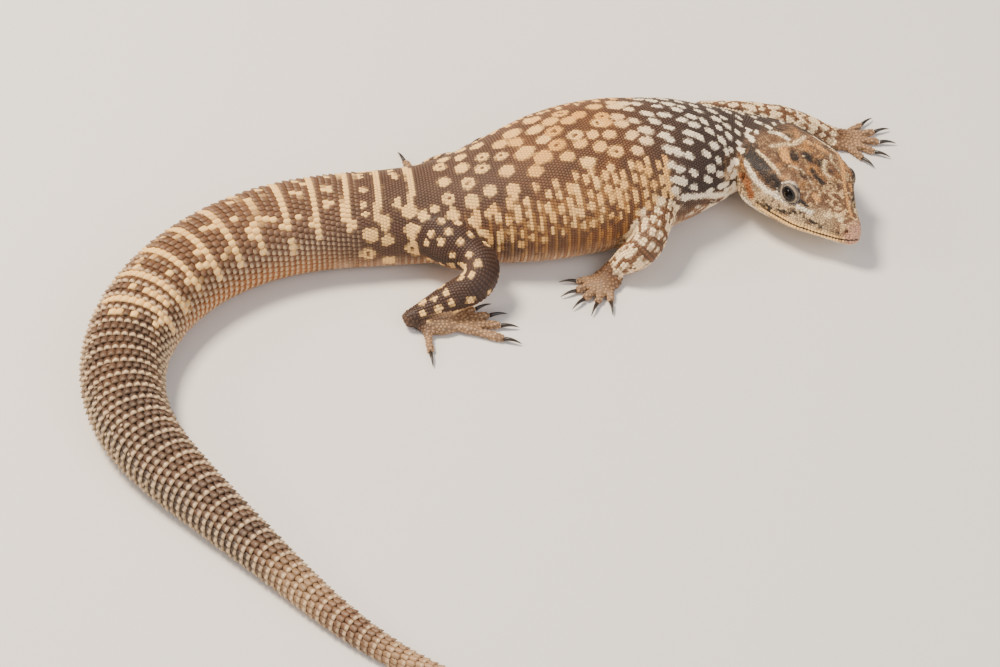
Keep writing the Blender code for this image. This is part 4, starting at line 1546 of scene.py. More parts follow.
@dataclass
class Skin:
    """One closed skin over head, neck, trunk, tail, legs and toes."""

    anatomy: Anatomy
    depth: float = 0.42
    voxel: float = 0.58
    ring_step: float = 0.8
    most_triangles: int = 165_000
    neck_fold: float = 4.6
    flank_fold: float = 3.9
    item: bpy.types.Object = field(init=False)

    def build(self) -> bpy.types.Object:
        """Loft, fuse, smooth and sculpt the skin.

        Returns:
            The skin.
        """
        parts = [loft(self.trunk_rings())]
        for limb in self.anatomy.limbs:
            parts.append(loft(limb.rings(28, self.depth)))
            parts.append(self.palm(limb))
            for digit in range(5):
                parts.append(loft(limb.digit_rings(digit, 14, 0.18)))
        points = []
        faces = []
        base = 0
        for part_points, part_faces in parts:
            points.append(part_points)
            faces += [tuple(base + k for k in face) for face in part_faces]
            base += len(part_points)
        self.item = mesh_object("skin", np.vstack(points), faces)
        self.remesh()
        self.relax()
        self.thin()
        self.wrinkle()
        self.sculpt()
        self.item.data.shade_smooth()
        return self.item

    def trunk_rings(self) -> list[Array]:
        """Rings from the snout to the tail's tip.

        Returns:
            The rings.
        """
        body = self.anatomy.body
        start = body.spine.start
        stations = np.concatenate([[start + 0.25], np.arange(start + 0.6, 43.0, 0.45),
                                   np.arange(43.0, body.tail_end, self.ring_step)])
        rings = []
        for s in stations:
            thin = float(body.levels(s)[0]) * 0.3
            rings.append(body.world_ring(float(s), min(self.depth, thin)))
        first = rings[1].mean(axis=0)
        rings[0] = first + (rings[1] - first) * 0.72 + body.spine.axes(start)[0][0] * 0.3
        return rings

    def palm(self, limb: Limb) -> tuple[Array, list]:
        """Flattened ball of a palm or sole.

        Args:
            limb: The limb that it ends.

        Returns:
            Points and faces.
        """
        middle, across = limb.foot_axes()
        centre = np.asarray(limb.joints[2]) + middle * limb.palm_ahead
        centre[2] = limb.palm[2] * 0.62
        rings = []
        for lat in np.linspace(-0.49, 0.49, 15) * math.pi:
            turn = full_turn(32)
            ahead = np.cos(turn) * math.cos(lat) * (limb.palm[0] - 0.3)
            aside = np.sin(turn) * math.cos(lat) * (limb.palm[1] - 0.3)
            ring = np.outer(ahead, middle) + np.outer(aside, across * limb.side)
            ring[:, 2] += math.sin(lat) * (limb.palm[2] - 0.25)
            ring += centre
            ring[:, 2] = np.maximum(ring[:, 2], FLESH_GAP)
            rings.append(ring)
        return loft(rings)

    def remesh(self) -> None:
        """Fuse the lofts into one closed surface."""
        fuse = self.item.modifiers.new("fuse", "REMESH")
        fuse.mode = "VOXEL"
        fuse.voxel_size = self.voxel * MM
        baked(self.item)

    def relax(self) -> None:
        """Smooth the voxels away, and round the joins of legs and trunk."""
        mesh = self.item.data
        points = vertex_array(mesh)
        join = self.join_weight(points)
        points = relaxed(mesh, points, np.full(len(points), 0.5), 4)
        points = relaxed(mesh, points, 0.6 * join, 22)
        points[:, 2] = np.maximum(points[:, 2], 0.1)
        set_vertices(mesh, points)

    def sculpt(self) -> None:
        """Divide the mesh at the eyes, nostrils and mouth, then form them."""
        spine = self.anatomy.body.spine
        form = HeadForm()
        for reach in (1.0, 0.72):
            shape = bmesh.new()
            shape.from_mesh(self.item.data)
            shape.edges.ensure_lookup_table()
            middle = np.array([(edge.verts[0].co + edge.verts[1].co) / 2
                               for edge in shape.edges]) / MM
            side = form.folded(spine.to_head(middle))
            by_mouth = (np.abs(form.mouth_gap(side)) < 0.8 * reach) & (side[:, 0] > -1)
            near = ((np.linalg.norm(side - form.eye, axis=1) < 5.4 * reach)
                    | (np.linalg.norm(side - form.nostril, axis=1) < 1.9 * reach)
                    | (by_mouth & (reach > 0.9)))
            cuts = [shape.edges[k] for k in np.flatnonzero(near)]
            bmesh.ops.subdivide_edges(shape, edges=cuts, cuts=1, use_grid_fill=True)
            large = [face for face in shape.faces if len(face.verts) > 3]
            bmesh.ops.triangulate(shape, faces=large)
            shape.to_mesh(self.item.data)
            shape.free()
        points = vertex_array(self.item.data)
        side = form.folded(spine.to_head(points))
        from_eye = np.linalg.norm(side - form.eye, axis=1)
        moat = ease(form.eye_ratio(side), 1.5, 1.8) * (1 - ease(from_eye, 5.5, 8.0))
        points = relaxed(self.item.data, points, 0.7 * moat, 40)
        head = spine.to_head(points)
        near = np.flatnonzero((head[:, 0] < form.back_end) & (head[:, 0] > -2)
                              & (np.abs(head[:, 1]) < 19) & (head[:, 2] > -1))
        points[near] = spine.from_head(form.sculpt(head[near]))
        set_vertices(self.item.data, points)

    def wrinkle(self) -> None:
        """Press loose folds into the neck and the lower flank."""
        mesh = self.item.data
        points = vertex_array(mesh)
        s, _, _, distance, reach, height = self.anatomy.body.around(points)
        near = np.abs(distance - reach) < 1.2
        sway = soft_noise(points, 5.0, 41)
        neck = ease(s, 43, 48) * (1 - ease(s, 60, 72)) * (1 - ease(height, 0.55, 0.8))
        crease = 0.5 + 0.5 * np.sin(2 * math.pi * (s + 2.2 * height * 3 + 1.2 * sway)
                                    / self.neck_fold)
        flank = (ease(s, 84, 96) * (1 - ease(s, 150, 166)) * (1 - ease(height, 0.35, 0.6))
                 * ease(height, 0.02, 0.1))
        pleat = 0.5 + 0.5 * np.sin(2 * math.pi * (s + 0.9 * sway) / self.flank_fold)
        depth = near * (0.42 * neck * crease ** 2 + 0.2 * flank * pleat)
        set_vertices(mesh, points - vertex_normals(mesh) * depth[:, None])

    def join_weight(self, points: Array) -> Array:
        """Full where a leg leaves the trunk.

        Args:
            points: World places in mm.

        Returns:
            Weight of each point, 0 to 1.
        """
        _, _, _, distance, reach, _ = self.anatomy.body.around(points)
        trunk = distance - reach
        weight = np.zeros(len(points))
        for limb in self.anatomy.limbs:
            share, ratio, _ = limb.locate(points)
            gap = (ratio - 1) * limb.radius(share)
            close = (1 - ease(np.abs(trunk), 1.0, 3.2)) * (1 - ease(np.abs(gap), 1.0, 3.2))
            weight = np.maximum(weight, close)
        return weight

    def thin(self) -> None:
        """Take the mesh under the limit of triangles, keeping its curves."""
        count = triangle_count(self.item.data)
        LOG.info("skin before thinning: %d triangles", count)
        if count > self.most_triangles:
            cut = self.item.modifiers.new("thin", "DECIMATE")
            cut.ratio = self.most_triangles / count
            baked(self.item)


@dataclass
class SkinSurface:
    """The finished skin as something to stand scales on."""

    item: bpy.types.Object
    points: Array = field(init=False)
    normals: Array = field(init=False)
    corners: list = field(init=False)
    tree: BVHTree = field(init=False)

    def __post_init__(self) -> None:
        """Read the mesh."""
        mesh = self.item.data
        self.points = vertex_array(mesh)
        self.normals = vertex_normals(mesh)
        self.corners = [tuple(face.vertices) for face in mesh.polygons]
        self.tree = BVHTree.FromPolygons(self.points.tolist(), self.corners)

    def settle(self, points: Array, reach: float = 2.0) -> tuple[Array, Array, Array]:
        """Nearest places on the skin with their normals, and which points found one.

        Args:
            points: World places in mm.
            reach: Farthest that a point may lie from the skin.

        Returns:
            Places, normals, and True where one was found.
        """
        places = np.array(points, float)
        normals = np.zeros_like(places)
        found = np.zeros(len(points), bool)
        for index, point in enumerate(points):
            spot, _, face, distance = self.tree.find_nearest(Vector(point), reach)
            if spot is None:
                continue
            places[index] = spot
            near = self.corners[face]
            weights = [1.0 / (0.05 + np.linalg.norm(self.points[v] - places[index])) for v in near]
            normals[index] = np.average(self.normals[list(near)], axis=0, weights=weights)
            found[index] = distance < reach
        return places, unit(normals), found


# Coat ----------------------------------------------------------------------


class ScaleShape(Enum):
    """Kinds of scale, by the part of the coat they make."""

    GRANULE = "granule"
    PAD = "pad"
    KEELED = "keeled"


@dataclass
class ScaleTemplate:
    """One scale at unit size: across X, back along Y, outwards Z."""

    shape: ScaleShape

    def build(self) -> bpy.types.Object:
        """Mesh of the scale.

        Returns:
            The scale, outside the scene.
        """
        if self.shape is ScaleShape.KEELED:
            points, faces = self.keeled()
        else:
            points, faces = self.dome(6, 0.16 if self.shape is ScaleShape.PAD else 0.05)
        item = mesh_object(f"shape_{self.shape.value}", points / MM, faces)
        rear = np.zeros(len(points))
        # The last two rows of a scute's top can turn pale.
        if self.shape is ScaleShape.KEELED:
            rear[[15, 16, 17, 18, 19]] = (0.35, 0.7, 1.0, 0.7, 0.35)
            rear[20:25] = 1.0
        store(item, "rear", "FLOAT", rear)
        store(item, "petal", "FLOAT_VECTOR", points * (0.5, 0.5, 0.0))
        bpy.context.scene.collection.objects.unlink(item)
        return item

    def dome(self, sides: int, rise: float) -> tuple[Array, list]:
        """Low closed dome, a little higher at its rear.

        Args:
            sides: Sides of its outline.
            rise: How much higher its rear stands.

        Returns:
            Points and faces.
        """
        turn = full_turn(sides) + math.pi / sides
        power = 2.6
        reach = (np.abs(np.cos(turn)) ** power + np.abs(np.sin(turn)) ** power) ** (-1 / power)
        ring = np.stack([np.cos(turn) * reach, np.sin(turn) * reach], axis=1) * 0.5
        foot = np.column_stack([ring * 0.98, np.full(sides, -0.25)])
        lip = np.column_stack([ring * 0.97, 0.10 + rise * (ring[:, 1] + 0.5)])
        brow = np.column_stack([ring * 0.66, 0.34 + rise * (ring[:, 1] + 0.5)])
        top = np.array([[0.0, 0.02, 0.42 + rise * 0.6]])
        points = np.vstack([foot, lip, brow, top])
        faces = [tuple(range(sides - 1, -1, -1))]
        for k in range(sides):
            n = (k + 1) % sides
            faces.append((k, n, n + sides, k + sides))
            faces.append((k + sides, n + sides, n + 2 * sides, k + 2 * sides))
            faces.append((k + 2 * sides, n + 2 * sides, 3 * sides))
        return points, faces

    def keeled(self) -> tuple[Array, list]:
        """Rectangular scute whose keel rises to a point that overhangs its rear edge.

        Returns:
            Points and faces.
        """
        columns = np.array([-0.49, -0.30, 0.0, 0.30, 0.49])
        rows = np.array([-0.50, -0.25, 0.05, 0.32, 0.50])
        keel = np.array([0.10, 0.34, 0.60, 0.86, 1.02])
        shoulder = np.array([0.06, 0.22, 0.32, 0.38, 0.30])
        edge = np.array([0.0, 0.08, 0.12, 0.14, 0.06])
        points = []
        for r, y in enumerate(rows):
            for x in columns:
                z = keel[r] if x == 0 else shoulder[r] if abs(x) < 0.4 else edge[r]
                back = (0.16 if x == 0 else -0.02 * abs(x)) if r == 4 else 0.0
                points.append((x * (0.94 if r == 4 else 1.0), y + back, z))
        faces = [(r * 5 + c, r * 5 + c + 1, r * 5 + c + 6, r * 5 + c + 5)
                 for r in range(4) for c in range(4)]
        rim = [0, 1, 2, 3, 4, 9, 14, 19, 24, 23, 22, 21, 20, 15, 10, 5]
        start = len(points)
        for k in rim:
            x, y, _ = points[k]
            points.append((x * 0.96, min(y, 0.5) * 0.96, -0.45))
        for k, corner in enumerate(rim):
            after = (k + 1) % len(rim)
            faces.append((start + k, start + after, rim[after], corner))
        faces.append(tuple(start + k for k in range(len(rim) - 1, -1, -1)))
        return np.array(points), faces


@dataclass
class ScaleRows:
    """Scales of one piece of the coat, gathered before they are made."""

    name: str
    shape: ScaleShape
    slot: str
    batches: list[tuple] = field(default_factory=list)

    def add(self, keep: Array, *columns: Array) -> None:
        """Append the scales that are kept.

        Args:
            keep: True for each scale to keep.
            columns: Places, normals, directions back, sizes and map roots of the scales.
        """
        if keep.any():
            self.batches.append(tuple(column[keep] for column in columns))

    def column(self, index: int) -> Array:
        """One column of all scales so far, in the order that add names."""
        return np.vstack([batch[index] for batch in self.batches])


def map_roots(along: Array | float, across: Array) -> Array:
    """Places on the coat's map, a little inside its square."""
    return 0.01 + 0.97 * np.column_stack(np.broadcast_arrays(along, across))


@dataclass
class Coat:
    """Scales over the whole skin."""

    anatomy: Anatomy
    atlas: Atlas
    surface: SkinSurface
    trunk_cuts: tuple = (42.0, 74.0, 98.0, 128.0, 172.0)
    tail_cuts: tuple = (172.0, 262.0, 517.0)
    overlap: float = 0.93
    widest_gap: float = 1.5
    limb_pitch: float = 0.94
    # Pitch of the rows in mm, by place along the spine: fine on the nape, larger on the back.
    pitch_body: tuple = ((3, 0.66), (8, 0.72), (26, 0.8), (42, 0.74), (62, 0.81), (84, 0.89),
                         (172, 0.98))
    pieces: list[ScaleRows] = field(default_factory=list)
    earlier: KDTree | None = None
    whorls: list[float] = field(default_factory=list)

    def trunk_share(self, s: Array | float) -> Array | float:
        """Share of the way from the nape to the vent."""
        return (s - self.trunk_cuts[0]) / (self.trunk_cuts[-1] - self.trunk_cuts[0])

    def trunk_piece(self, s: float) -> int:
        """Which piece of trunk scales covers s."""
        return int(np.searchsorted(self.trunk_cuts[1:], s, side="right"))

    def ring_places(self, s: float, pitch: float, phase: float) -> tuple[Array, Array]:
        """Evenly spread places round the section at s, with their share of the way round.

        Args:
            s: Place along the spine.
            pitch: Distance between places.
            phase: Shift of the first, in pitches.

        Returns:
            Places in mm and shares.
        """
        ring = self.anatomy.body.world_ring(s)
        closed = np.vstack([ring, ring[:1]])
        length = run_length(closed)
        count = max(6, round(length[-1] / pitch))
        share = (np.arange(count) + phase) / count
        return point_along(share * length[-1], length, closed), share

    def head_rows(self, rng: np.random.Generator) -> None:
        """Rings round the eyes, rows along the lips, and granules packed between them.

        Args:
            rng: Source of chance.
        """
        spine = self.anatomy.body.spine
        form = HeadForm()
        fixed = []
        for side in (1, -1):
            for ratio in form.lid_rings:
                turn = full_turn(round(22 * ratio)) + ratio * 7
                ring = np.column_stack([np.cos(turn) * form.opening[0] * ratio,
                                        np.full(len(turn), 3.2),
                                        np.sin(turn) * form.opening[1] * ratio])
                ring[:, 1] = np.sqrt(np.maximum(3.7 ** 2 - ring[:, 0] ** 2 - ring[:, 2] ** 2, 1.0))
                fixed.append((spine.from_head((ring + form.eye) * (1, side, 1)), 0.5))
            for lift, size in ((0.72, 0.84), (-0.72, 0.84), (1.5, 0.74)):
                x = np.arange(1.0, form.mouth_end, size)
                rim = np.column_stack([x,
                                       smooth(x, self.anatomy.body.head_x, self.anatomy.body.lip_y),
                                       table(x, form.mouth) + lift])
                fixed.append((spine.from_head(rim * (1, side, 1)), size))
        guess = np.vstack([places for places, _ in fixed])
        size = np.concatenate([np.full(len(places), value) for places, value in fixed])
        places, normals, found = self.surface.settle(guess, 2.5)
        places, normals, size = self.packed(rng, places[found], normals[found], size[found])
        head = spine.to_head(places)
        side = form.folded(head)
        away = side - form.eye
        flip = np.where(head[:, 1:2] < 0, (1, -1, 1), (1, 1, 1))
        backs = np.where((form.eye_ratio(side) < 1.9)[:, None], away * flip, (1.0, 0.0, 0.0))
        backs = spine.from_head(backs) - spine.from_head([[0.0, 0.0, 0.0]])
        turn = np.arctan2(head[:, 1], head[:, 2] - 9.0) / (2 * math.pi) + 0.5
        roots = map_roots(np.clip(side[:, 0] / form.back_end, 0, 1), turn)
        extent = np.column_stack([size * 1.02, size * 1.12, size * 0.52])
        upper = side[:, 2] > 9.5
        for name, mask in (("head_scales", upper), ("jaw_scales", ~upper)):
            piece = ScaleRows(name, ScaleShape.GRANULE, "scaled_skin")
            piece.add(mask, places, normals, backs, extent, roots)
            self.pieces.append(piece)

    def packed(self, rng: np.random.Generator, places: Array, normals: Array,
               size: Array) -> tuple[Array, Array, Array]:
        """Add evenly packed places to the fixed ones over the whole head.

        Args:
            rng: Source of chance.
            places: Fixed places, in mm.
            normals: Their normals.
            size: Their sizes.

        Returns:
            Places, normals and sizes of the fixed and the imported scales.
        """
        spine = self.anatomy.body.spine
        form = HeadForm()
        skin = self.surface
        corners = np.array(skin.corners)
        middle = spine.to_head(skin.points[corners[:, 0]])
        corners = corners[(middle[:, 0] < form.back_end + 0.5) & (middle[:, 0] > -2)
                          & (np.abs(middle[:, 1]) < 20) & (middle[:, 2] > -1.5)]
        a, b, c = (skin.points[corners[:, k]] for k in range(3))
        area = np.linalg.norm(np.cross(b - a, c - a), axis=1)
        pick = rng.choice(len(corners), 60_000, p=area / area.sum())
        u, v = rng.random((2, len(pick), 1))
        over = u + v > 1
        u, v = np.where(over, 1 - u, u), np.where(over, 1 - v, v)
        darts = a[pick] + u * (b[pick] - a[pick]) + v * (c[pick] - a[pick])
        facing = unit(skin.normals[corners[pick]].sum(axis=1))
        head = spine.to_head(darts)
        s = spine.locate(darts)[0]
        keep = form.open_skin(head) & (s < self.trunk_cuts[0] + 0.2)
        darts, facing, head = darts[keep], facing[keep], head[keep]
        gap = smooth(head[:, 0], (0, 10, 22, 39), (0.48, 0.52, 0.58, 0.66))
        cells: dict = {}
        kept = [tuple(place) for place in places]
        sizes = list(size)
        for index, place in enumerate(kept):
            cells.setdefault(tuple(math.floor(value) for value in place), []).append(index)
        fixed = len(kept)
        chosen = []
        for index, (place, limit) in enumerate(zip(darts.tolist(), gap.tolist())):
            key = tuple(math.floor(value) for value in place)
            rooms = ((other, limit if other >= fixed else (limit + sizes[other]) / 2)
                     for other in cell_members(cells, key))
            if all(math.dist(place, kept[other]) >= room for other, room in rooms):
                cells.setdefault(key, []).append(len(kept))
                kept.append(tuple(place))
                sizes.append(limit * 1.12)
                chosen.append(index)
        return np.array(kept), np.vstack([normals, facing[chosen]]), np.array(sizes)

    def body_rows(self) -> None:
        """Transverse rows from the nape to the vent."""
        trunks = [ScaleRows(f"trunk_scales_{k + 1}", ScaleShape.PAD, "scaled_skin")
                  for k in range(4)]
        s = self.trunk_cuts[0]
        row = 0
        while s < self.trunk_cuts[-1]:
            pitch = float(table(s, self.pitch_body))
            guess, share = self.ring_places(s, pitch, 0.5 * (row % 2))
            places, normals, found = self.surface.settle(guess, 1.3)
            backs = np.broadcast_to(-self.anatomy.body.spine.axes(s)[0][0], places.shape)
            roots = map_roots(self.trunk_share(s), share)
            sizes = np.tile((pitch * 0.94, pitch * 1.16, pitch * 0.46), (len(places), 1))
            piece = trunks[self.trunk_piece(s)]
            piece.add(found, places, normals, backs, sizes, roots)
            s += pitch * self.overlap
            row += 1
        self.pieces += trunks

    def tail_rows(self) -> None:
        """Whorls of keeled scutes."""
        pieces = [ScaleRows(f"tail_scutes_{k + 1}", ScaleShape.KEELED, "keeled_tail_skin")
                  for k in range(2)]
        s = self.tail_cuts[0] + 0.6
        row = 0
        while s < self.tail_cuts[-1] - 0.8:
            pitch = float(smooth(s, (172, 215, 330, 420, 517), (1.5, 2.35, 2.4, 2.2, 1.8)))
            half_width = float(self.anatomy.body.levels(s)[0])
            wide = float(smooth(s, (172, 215, 300, 420, 517), (1.35, 2.2, 2.3, 1.5, 0.6)))
            guess, share = self.ring_places(s, wide, 0.5 * (row % 2))
            places, normals, found = self.surface.settle(guess, 1.2)
            backs = np.broadcast_to(-self.anatomy.body.spine.axes(s)[0][0], places.shape)
            across = 2 * math.pi * half_width / len(guess) * 0.98 if s > 470 else wide
            angle = np.cos(2 * math.pi * share)
            keel = float(smooth(s, (172, 230, 300, 400, 517), (0.55, 1.15, 1.35, 0.85, 0.25)))
            rise = keel * (0.42 + 0.58 * ease(angle, -0.75, 0.0))
            sizes = np.column_stack(np.broadcast_arrays(across * 0.96, pitch * 1.02, rise))
            which = int(s >= self.tail_cuts[1])
            start, end = self.tail_cuts[which:which + 2]
            roots = map_roots((s - start) / (end - start), share)
            pieces[which].add(found, places, normals, backs, sizes, roots)
            self.whorls.append(s)
            s += pitch
            row += 1
        self.pieces += pieces

    def limb_rows(self) -> None:
        """Rings of scales on the legs."""
        arms = ScaleRows("arm_scales", ScaleShape.PAD, "scaled_skin")
        legs = ScaleRows("leg_scales", ScaleShape.PAD, "scaled_skin")
        for index, limb in enumerate(self.anatomy.limbs):
            piece = arms if limb.front else legs
            length = run_length(limb.centres)
            pitch = self.limb_pitch
            for row, along in enumerate(np.arange(0.5, length[-1], pitch * self.overlap)):
                centre = point_along(along, length, limb.centres)
                run = unit(point_along(along, length, limb.runs))
                share = float(np.interp(along, length, limb.marks))
                radius = float(limb.radius(share)) - 0.4
                count = max(8, round(2 * math.pi * radius / pitch))
                turn = 2 * math.pi * (np.arange(count) + 0.5 * (row % 2)) / count
                guess = centre + radius * circle(turn, *square_axes(run))
                places, normals, found = self.surface.settle(guess, 0.9)
                found &= self.clear_of(places, 0.8)
                backs = np.broadcast_to(run, places.shape)
                sizes = np.tile((pitch * 0.94, pitch * 1.14, pitch * 0.46), (count, 1))
                spot = (index % 2 + turn / (2 * math.pi) % 1.0 * 0.98) / 2
                roots = np.column_stack(np.broadcast_arrays(0.01 + 0.6 * along / length[-1],
                                                            0.01 + 0.97 * spot))
                piece.add(found, places, normals, backs, sizes, roots)
        self.pieces += [arms, legs]

    def clear_of(self, places: Array, distance: float) -> Array:
        """True where no scale of an earlier region is close."""
        if self.earlier is None:
            self.earlier = kd_tree(self.all_places())
        return np.array([self.earlier.find(Vector(p))[2] > distance for p in places])

    def all_places(self) -> Array:
        """Places of every scale so far."""
        return np.vstack([piece.column(0) for piece in self.pieces if piece.batches])

    def fill(self, rng: np.random.Generator) -> None:
        """Cover what the rows leave bare: feet, palms and the joins.

        Args:
            rng: Source of chance.
        """
        tree = kd_tree(self.all_places())
        order = rng.permutation(len(self.surface.points))
        at = self.atlas.read(self.surface.points)
        nape, vent = self.trunk_cuts[0], self.trunk_cuts[-1]
        bare = ~HeadForm().open_skin(at.head) & (at.s < nape)
        gap = np.where(at.foot > 0, 0.86,
                       np.where(at.s < nape, 0.62, np.where(at.s > vent, self.widest_gap, 0.84)))
        gap = np.where((at.on_limb > 0.5) & (at.foot == 0), 0.82, gap)
        cells: dict = {}
        chosen = []
        for index in order:
            point = self.surface.points[index]
            limit = gap[index]
            if bare[index] or tree.find(Vector(point))[2] < limit:
                continue
            key = tuple(np.floor(point / self.widest_gap).astype(int))
            if any(np.linalg.norm(self.surface.points[other] - point) < limit
                   for other in cell_members(cells, key)):
                continue
            cells.setdefault(key, []).append(index)
            chosen.append(index)
        chosen = np.array(sorted(chosen))
        LOG.info("filled %d bare places", len(chosen))
        self.spread(at, chosen, gap)

    def spread(self, at: Places, chosen: Array, gap: Array) -> None:
        """Give the filling scales a lie and share them out between pieces.

        Args:
            at: Where the skin's vertices lie.
            chosen: Vertices that get a scale.
            gap: Room at each vertex.
        """
        start = self.anatomy.body.spine.start
        nape, vent = self.trunk_cuts[0], self.trunk_cuts[-1]
        by_name = {piece.name: piece for piece in self.pieces}
        backs = -self.anatomy.body.spine.axes(at.s[chosen])[0]
        names = []
        for row, index in enumerate(chosen):
            s = at.s[index]
            limb = self.anatomy.limbs[at.limb[index]]
            if at.foot[index] > 0 or at.on_limb[index] > 0.5:
                names.append("arm_scales" if limb.front else "leg_scales")
                if at.foot[index] > 0:
                    away = self.surface.points[index] - np.asarray(limb.joints[2])
                    backs[row] = unit(away) * (1, 1, 0)
                else:
                    backs[row] = limb.runs[int(np.argmin(np.abs(limb.marks - at.share[index])))]
            elif s < nape:
                names.append("head_scales")
            elif s < vent:
                names.append(f"trunk_scales_{1 + self.trunk_piece(s)}")
            else:
                names.append(f"tail_scutes_{1 + int(s >= self.tail_cuts[1])}")
        names = np.array(names)
        for name in sorted(set(names.tolist())):
            mask = names == name
            pick = chosen[mask]
            size = gap[pick]
            keel = 0.5 if name.startswith("tail") else 0.46
            sizes = np.column_stack([size * 0.98, size * 1.12, size * keel])
            across = at.angle[pick] / (2 * math.pi) + 0.5
            if name in ("arm_scales", "leg_scales"):
                turn = at.limb_angle[pick] / (2 * math.pi) + 0.5
                across = (at.limb[pick] % 2 + turn * 0.98) / 2
                along = np.where(at.foot[pick] > 0, 0.62 + 0.37 * at.foot[pick] / 32.0,
                                 0.3 * at.share[pick])
            elif name == "head_scales":
                along = (at.s[pick] - start) / (nape - start)
            elif name.startswith("trunk"):
                along = self.trunk_share(at.s[pick])
            else:
                first, last = self.tail_cuts[:2] if name.endswith("1") else self.tail_cuts[1:]
                along = (at.s[pick] - first) / (last - first)
            roots = map_roots(np.clip(along, 0, 1), np.clip(across, 0, 1))
            by_name[name].add(pick >= 0, self.surface.points[pick], self.surface.normals[pick],
                              backs[mask], sizes, roots)

    def gather(self) -> None:
        """Place every scale."""
        self.head_rows(np.random.default_rng(7))
        self.body_rows()
        self.tail_rows()
        self.limb_rows()
        self.fill(np.random.default_rng(5))


@dataclass
class ScaleTree:
    """Geometry Nodes tree that stands a scale on each root point."""

    def build(self) -> bpy.types.NodeTree:
        """Make the tree with its named inputs.

        Returns:
            The tree.
        """
        tree = bpy.data.node_groups.new("scales_on_roots", "GeometryNodeTree")
        face = tree.interface
        for name, kind in (("Roots", "Geometry"), ("Scale shape", "Object"), ("Size", "Float"),
                           ("Size spread", "Float"), ("Map patch", "Float"), ("Seed", "Int"),
                           ("Finish", "Material")):
            face.new_socket(name, in_out="INPUT", socket_type=f"NodeSocket{kind}")
        face.new_socket("Coat", in_out="OUTPUT", socket_type="NodeSocketGeometry")
        out = add_node(tree, "NodeGroupInput").outputs
        lie, extent, root, petal = (
            add_node(tree, "GeometryNodeInputNamedAttribute", {"Name": name},
                     data_type="FLOAT_VECTOR").outputs["Attribute"]
            for name in ("lie", "extent", "root_uv", "petal"))
        shape = add_node(tree, "GeometryNodeObjectInfo", links={"Object": out["Scale shape"]})
        turn = add_node(tree, "FunctionNodeEulerToRotation", links={0: lie})
        least = add_node(tree, "ShaderNodeMath", {0: 1.0}, {1: out["Size spread"]},
                         operation="SUBTRACT")
        most = add_node(tree, "ShaderNodeMath", {0: 1.0}, {1: out["Size spread"]}, operation="ADD")
        chance = add_node(tree, "FunctionNodeRandomValue", links={"Seed": out["Seed"]},
                          data_type="FLOAT")
        tree.links.new(least.outputs[0], chance.inputs[2])
        tree.links.new(most.outputs[0], chance.inputs[3])
        grow = add_node(tree, "ShaderNodeMath", links={0: out["Size"], 1: chance.outputs[1]},
                        operation="MULTIPLY")
        sized = add_node(tree, "ShaderNodeVectorMath", links={0: extent, 3: grow.outputs[0]},
                         operation="SCALE")
        stood = add_node(tree, "GeometryNodeInstanceOnPoints",
                         links={"Points": out["Roots"], "Instance": shape.outputs["Geometry"],
                                "Rotation": turn.outputs[0], "Scale": sized.outputs[0]})
        real = add_node(tree, "GeometryNodeRealizeInstances", links={0: stood.outputs[0]})
        # Each scale gets a small patch of the map round its own root.
        small = add_node(tree, "ShaderNodeVectorMath", links={0: petal, 3: out["Map patch"]},
                         operation="SCALE")
        spot = add_node(tree, "ShaderNodeVectorMath", links={0: root, 1: small.outputs[0]},
                        operation="ADD")
        mapped = add_node(tree, "GeometryNodeStoreNamedAttribute", {"Name": "OFBake"},
                          {"Geometry": real.outputs[0], "Value": spot.outputs[0]},
                          data_type="FLOAT2", domain="CORNER")
        dressed = add_node(tree, "GeometryNodeSetMaterial",
                           links={"Geometry": mapped.outputs[0], "Material": out["Finish"]})
        add_node(tree, "NodeGroupOutput", links={"Coat": dressed.outputs[0]})
        return tree


def lie_angles(normals: Array, backs: Array) -> Array:
    """Euler turns that point a scale's Z outwards and its Y back.

    Args:
        normals: Outward directions at the roots.
        backs: Directions towards the tail at the roots.

    Returns:
        Three angles for each root, in radians.
    """
    z = unit(normals)
    x = unit(np.cross(backs, z))
    y = np.cross(z, x)
    b = -np.arcsin(np.clip(x[:, 2], -1, 1))
    return np.column_stack([np.arctan2(y[:, 2], z[:, 2]), b, np.arctan2(x[:, 1], x[:, 0])])


def grown(rows: ScaleRows, tree: bpy.types.NodeTree, shape: bpy.types.Object,
          finish: bpy.types.Material, tints: Array, edges: Array) -> bpy.types.Object:
    """One piece of the coat as a plain mesh.

    Args:
        rows: Its scales.
        tree: Tree that stands scales on points.
        shape: Scale at unit size.
        finish: Its material.
        tints: Colour of each scale.
        edges: How pale each scale's rear edge is.

    Returns:
        The piece.
    """
    places, normals, backs, sizes, roots = (rows.column(k) for k in range(5))
    item = mesh_object(rows.name, places, [], smooth_faces=False)
    store(item, "lie", "FLOAT_VECTOR", lie_angles(normals, backs))
    store(item, "extent", "FLOAT_VECTOR", sizes * MM)
    store(item, "root_uv", "FLOAT_VECTOR", np.column_stack([roots, np.zeros(len(places))]))
    store(item, "tint", "FLOAT_COLOR", opaque(tints))
    store(item, "edge", "FLOAT", edges)
    grow = item.modifiers.new("grow", "NODES")
    grow.node_group = tree
    sockets = {entry.name: entry.identifier for entry in tree.interface.items_tree
               if entry.in_out == "INPUT"}
    for name, value in (("Scale shape", shape), ("Size", 1.0), ("Size spread", 0.06),
                        ("Map patch", 0.003), ("Seed", len(places)), ("Finish", finish)):
        grow[sockets[name]] = value
    baked(item)
    for name in ("lie", "extent", "root_uv", "petal"):
        if name in item.data.attributes:
            item.data.attributes.remove(item.data.attributes[name])
    points = vertex_array(item.data)
    points[:, 2] = np.maximum(points[:, 2], FLOOR_GAP)
    set_vertices(item.data, points)
    return item


# Finishes ------------------------------------------------------------------


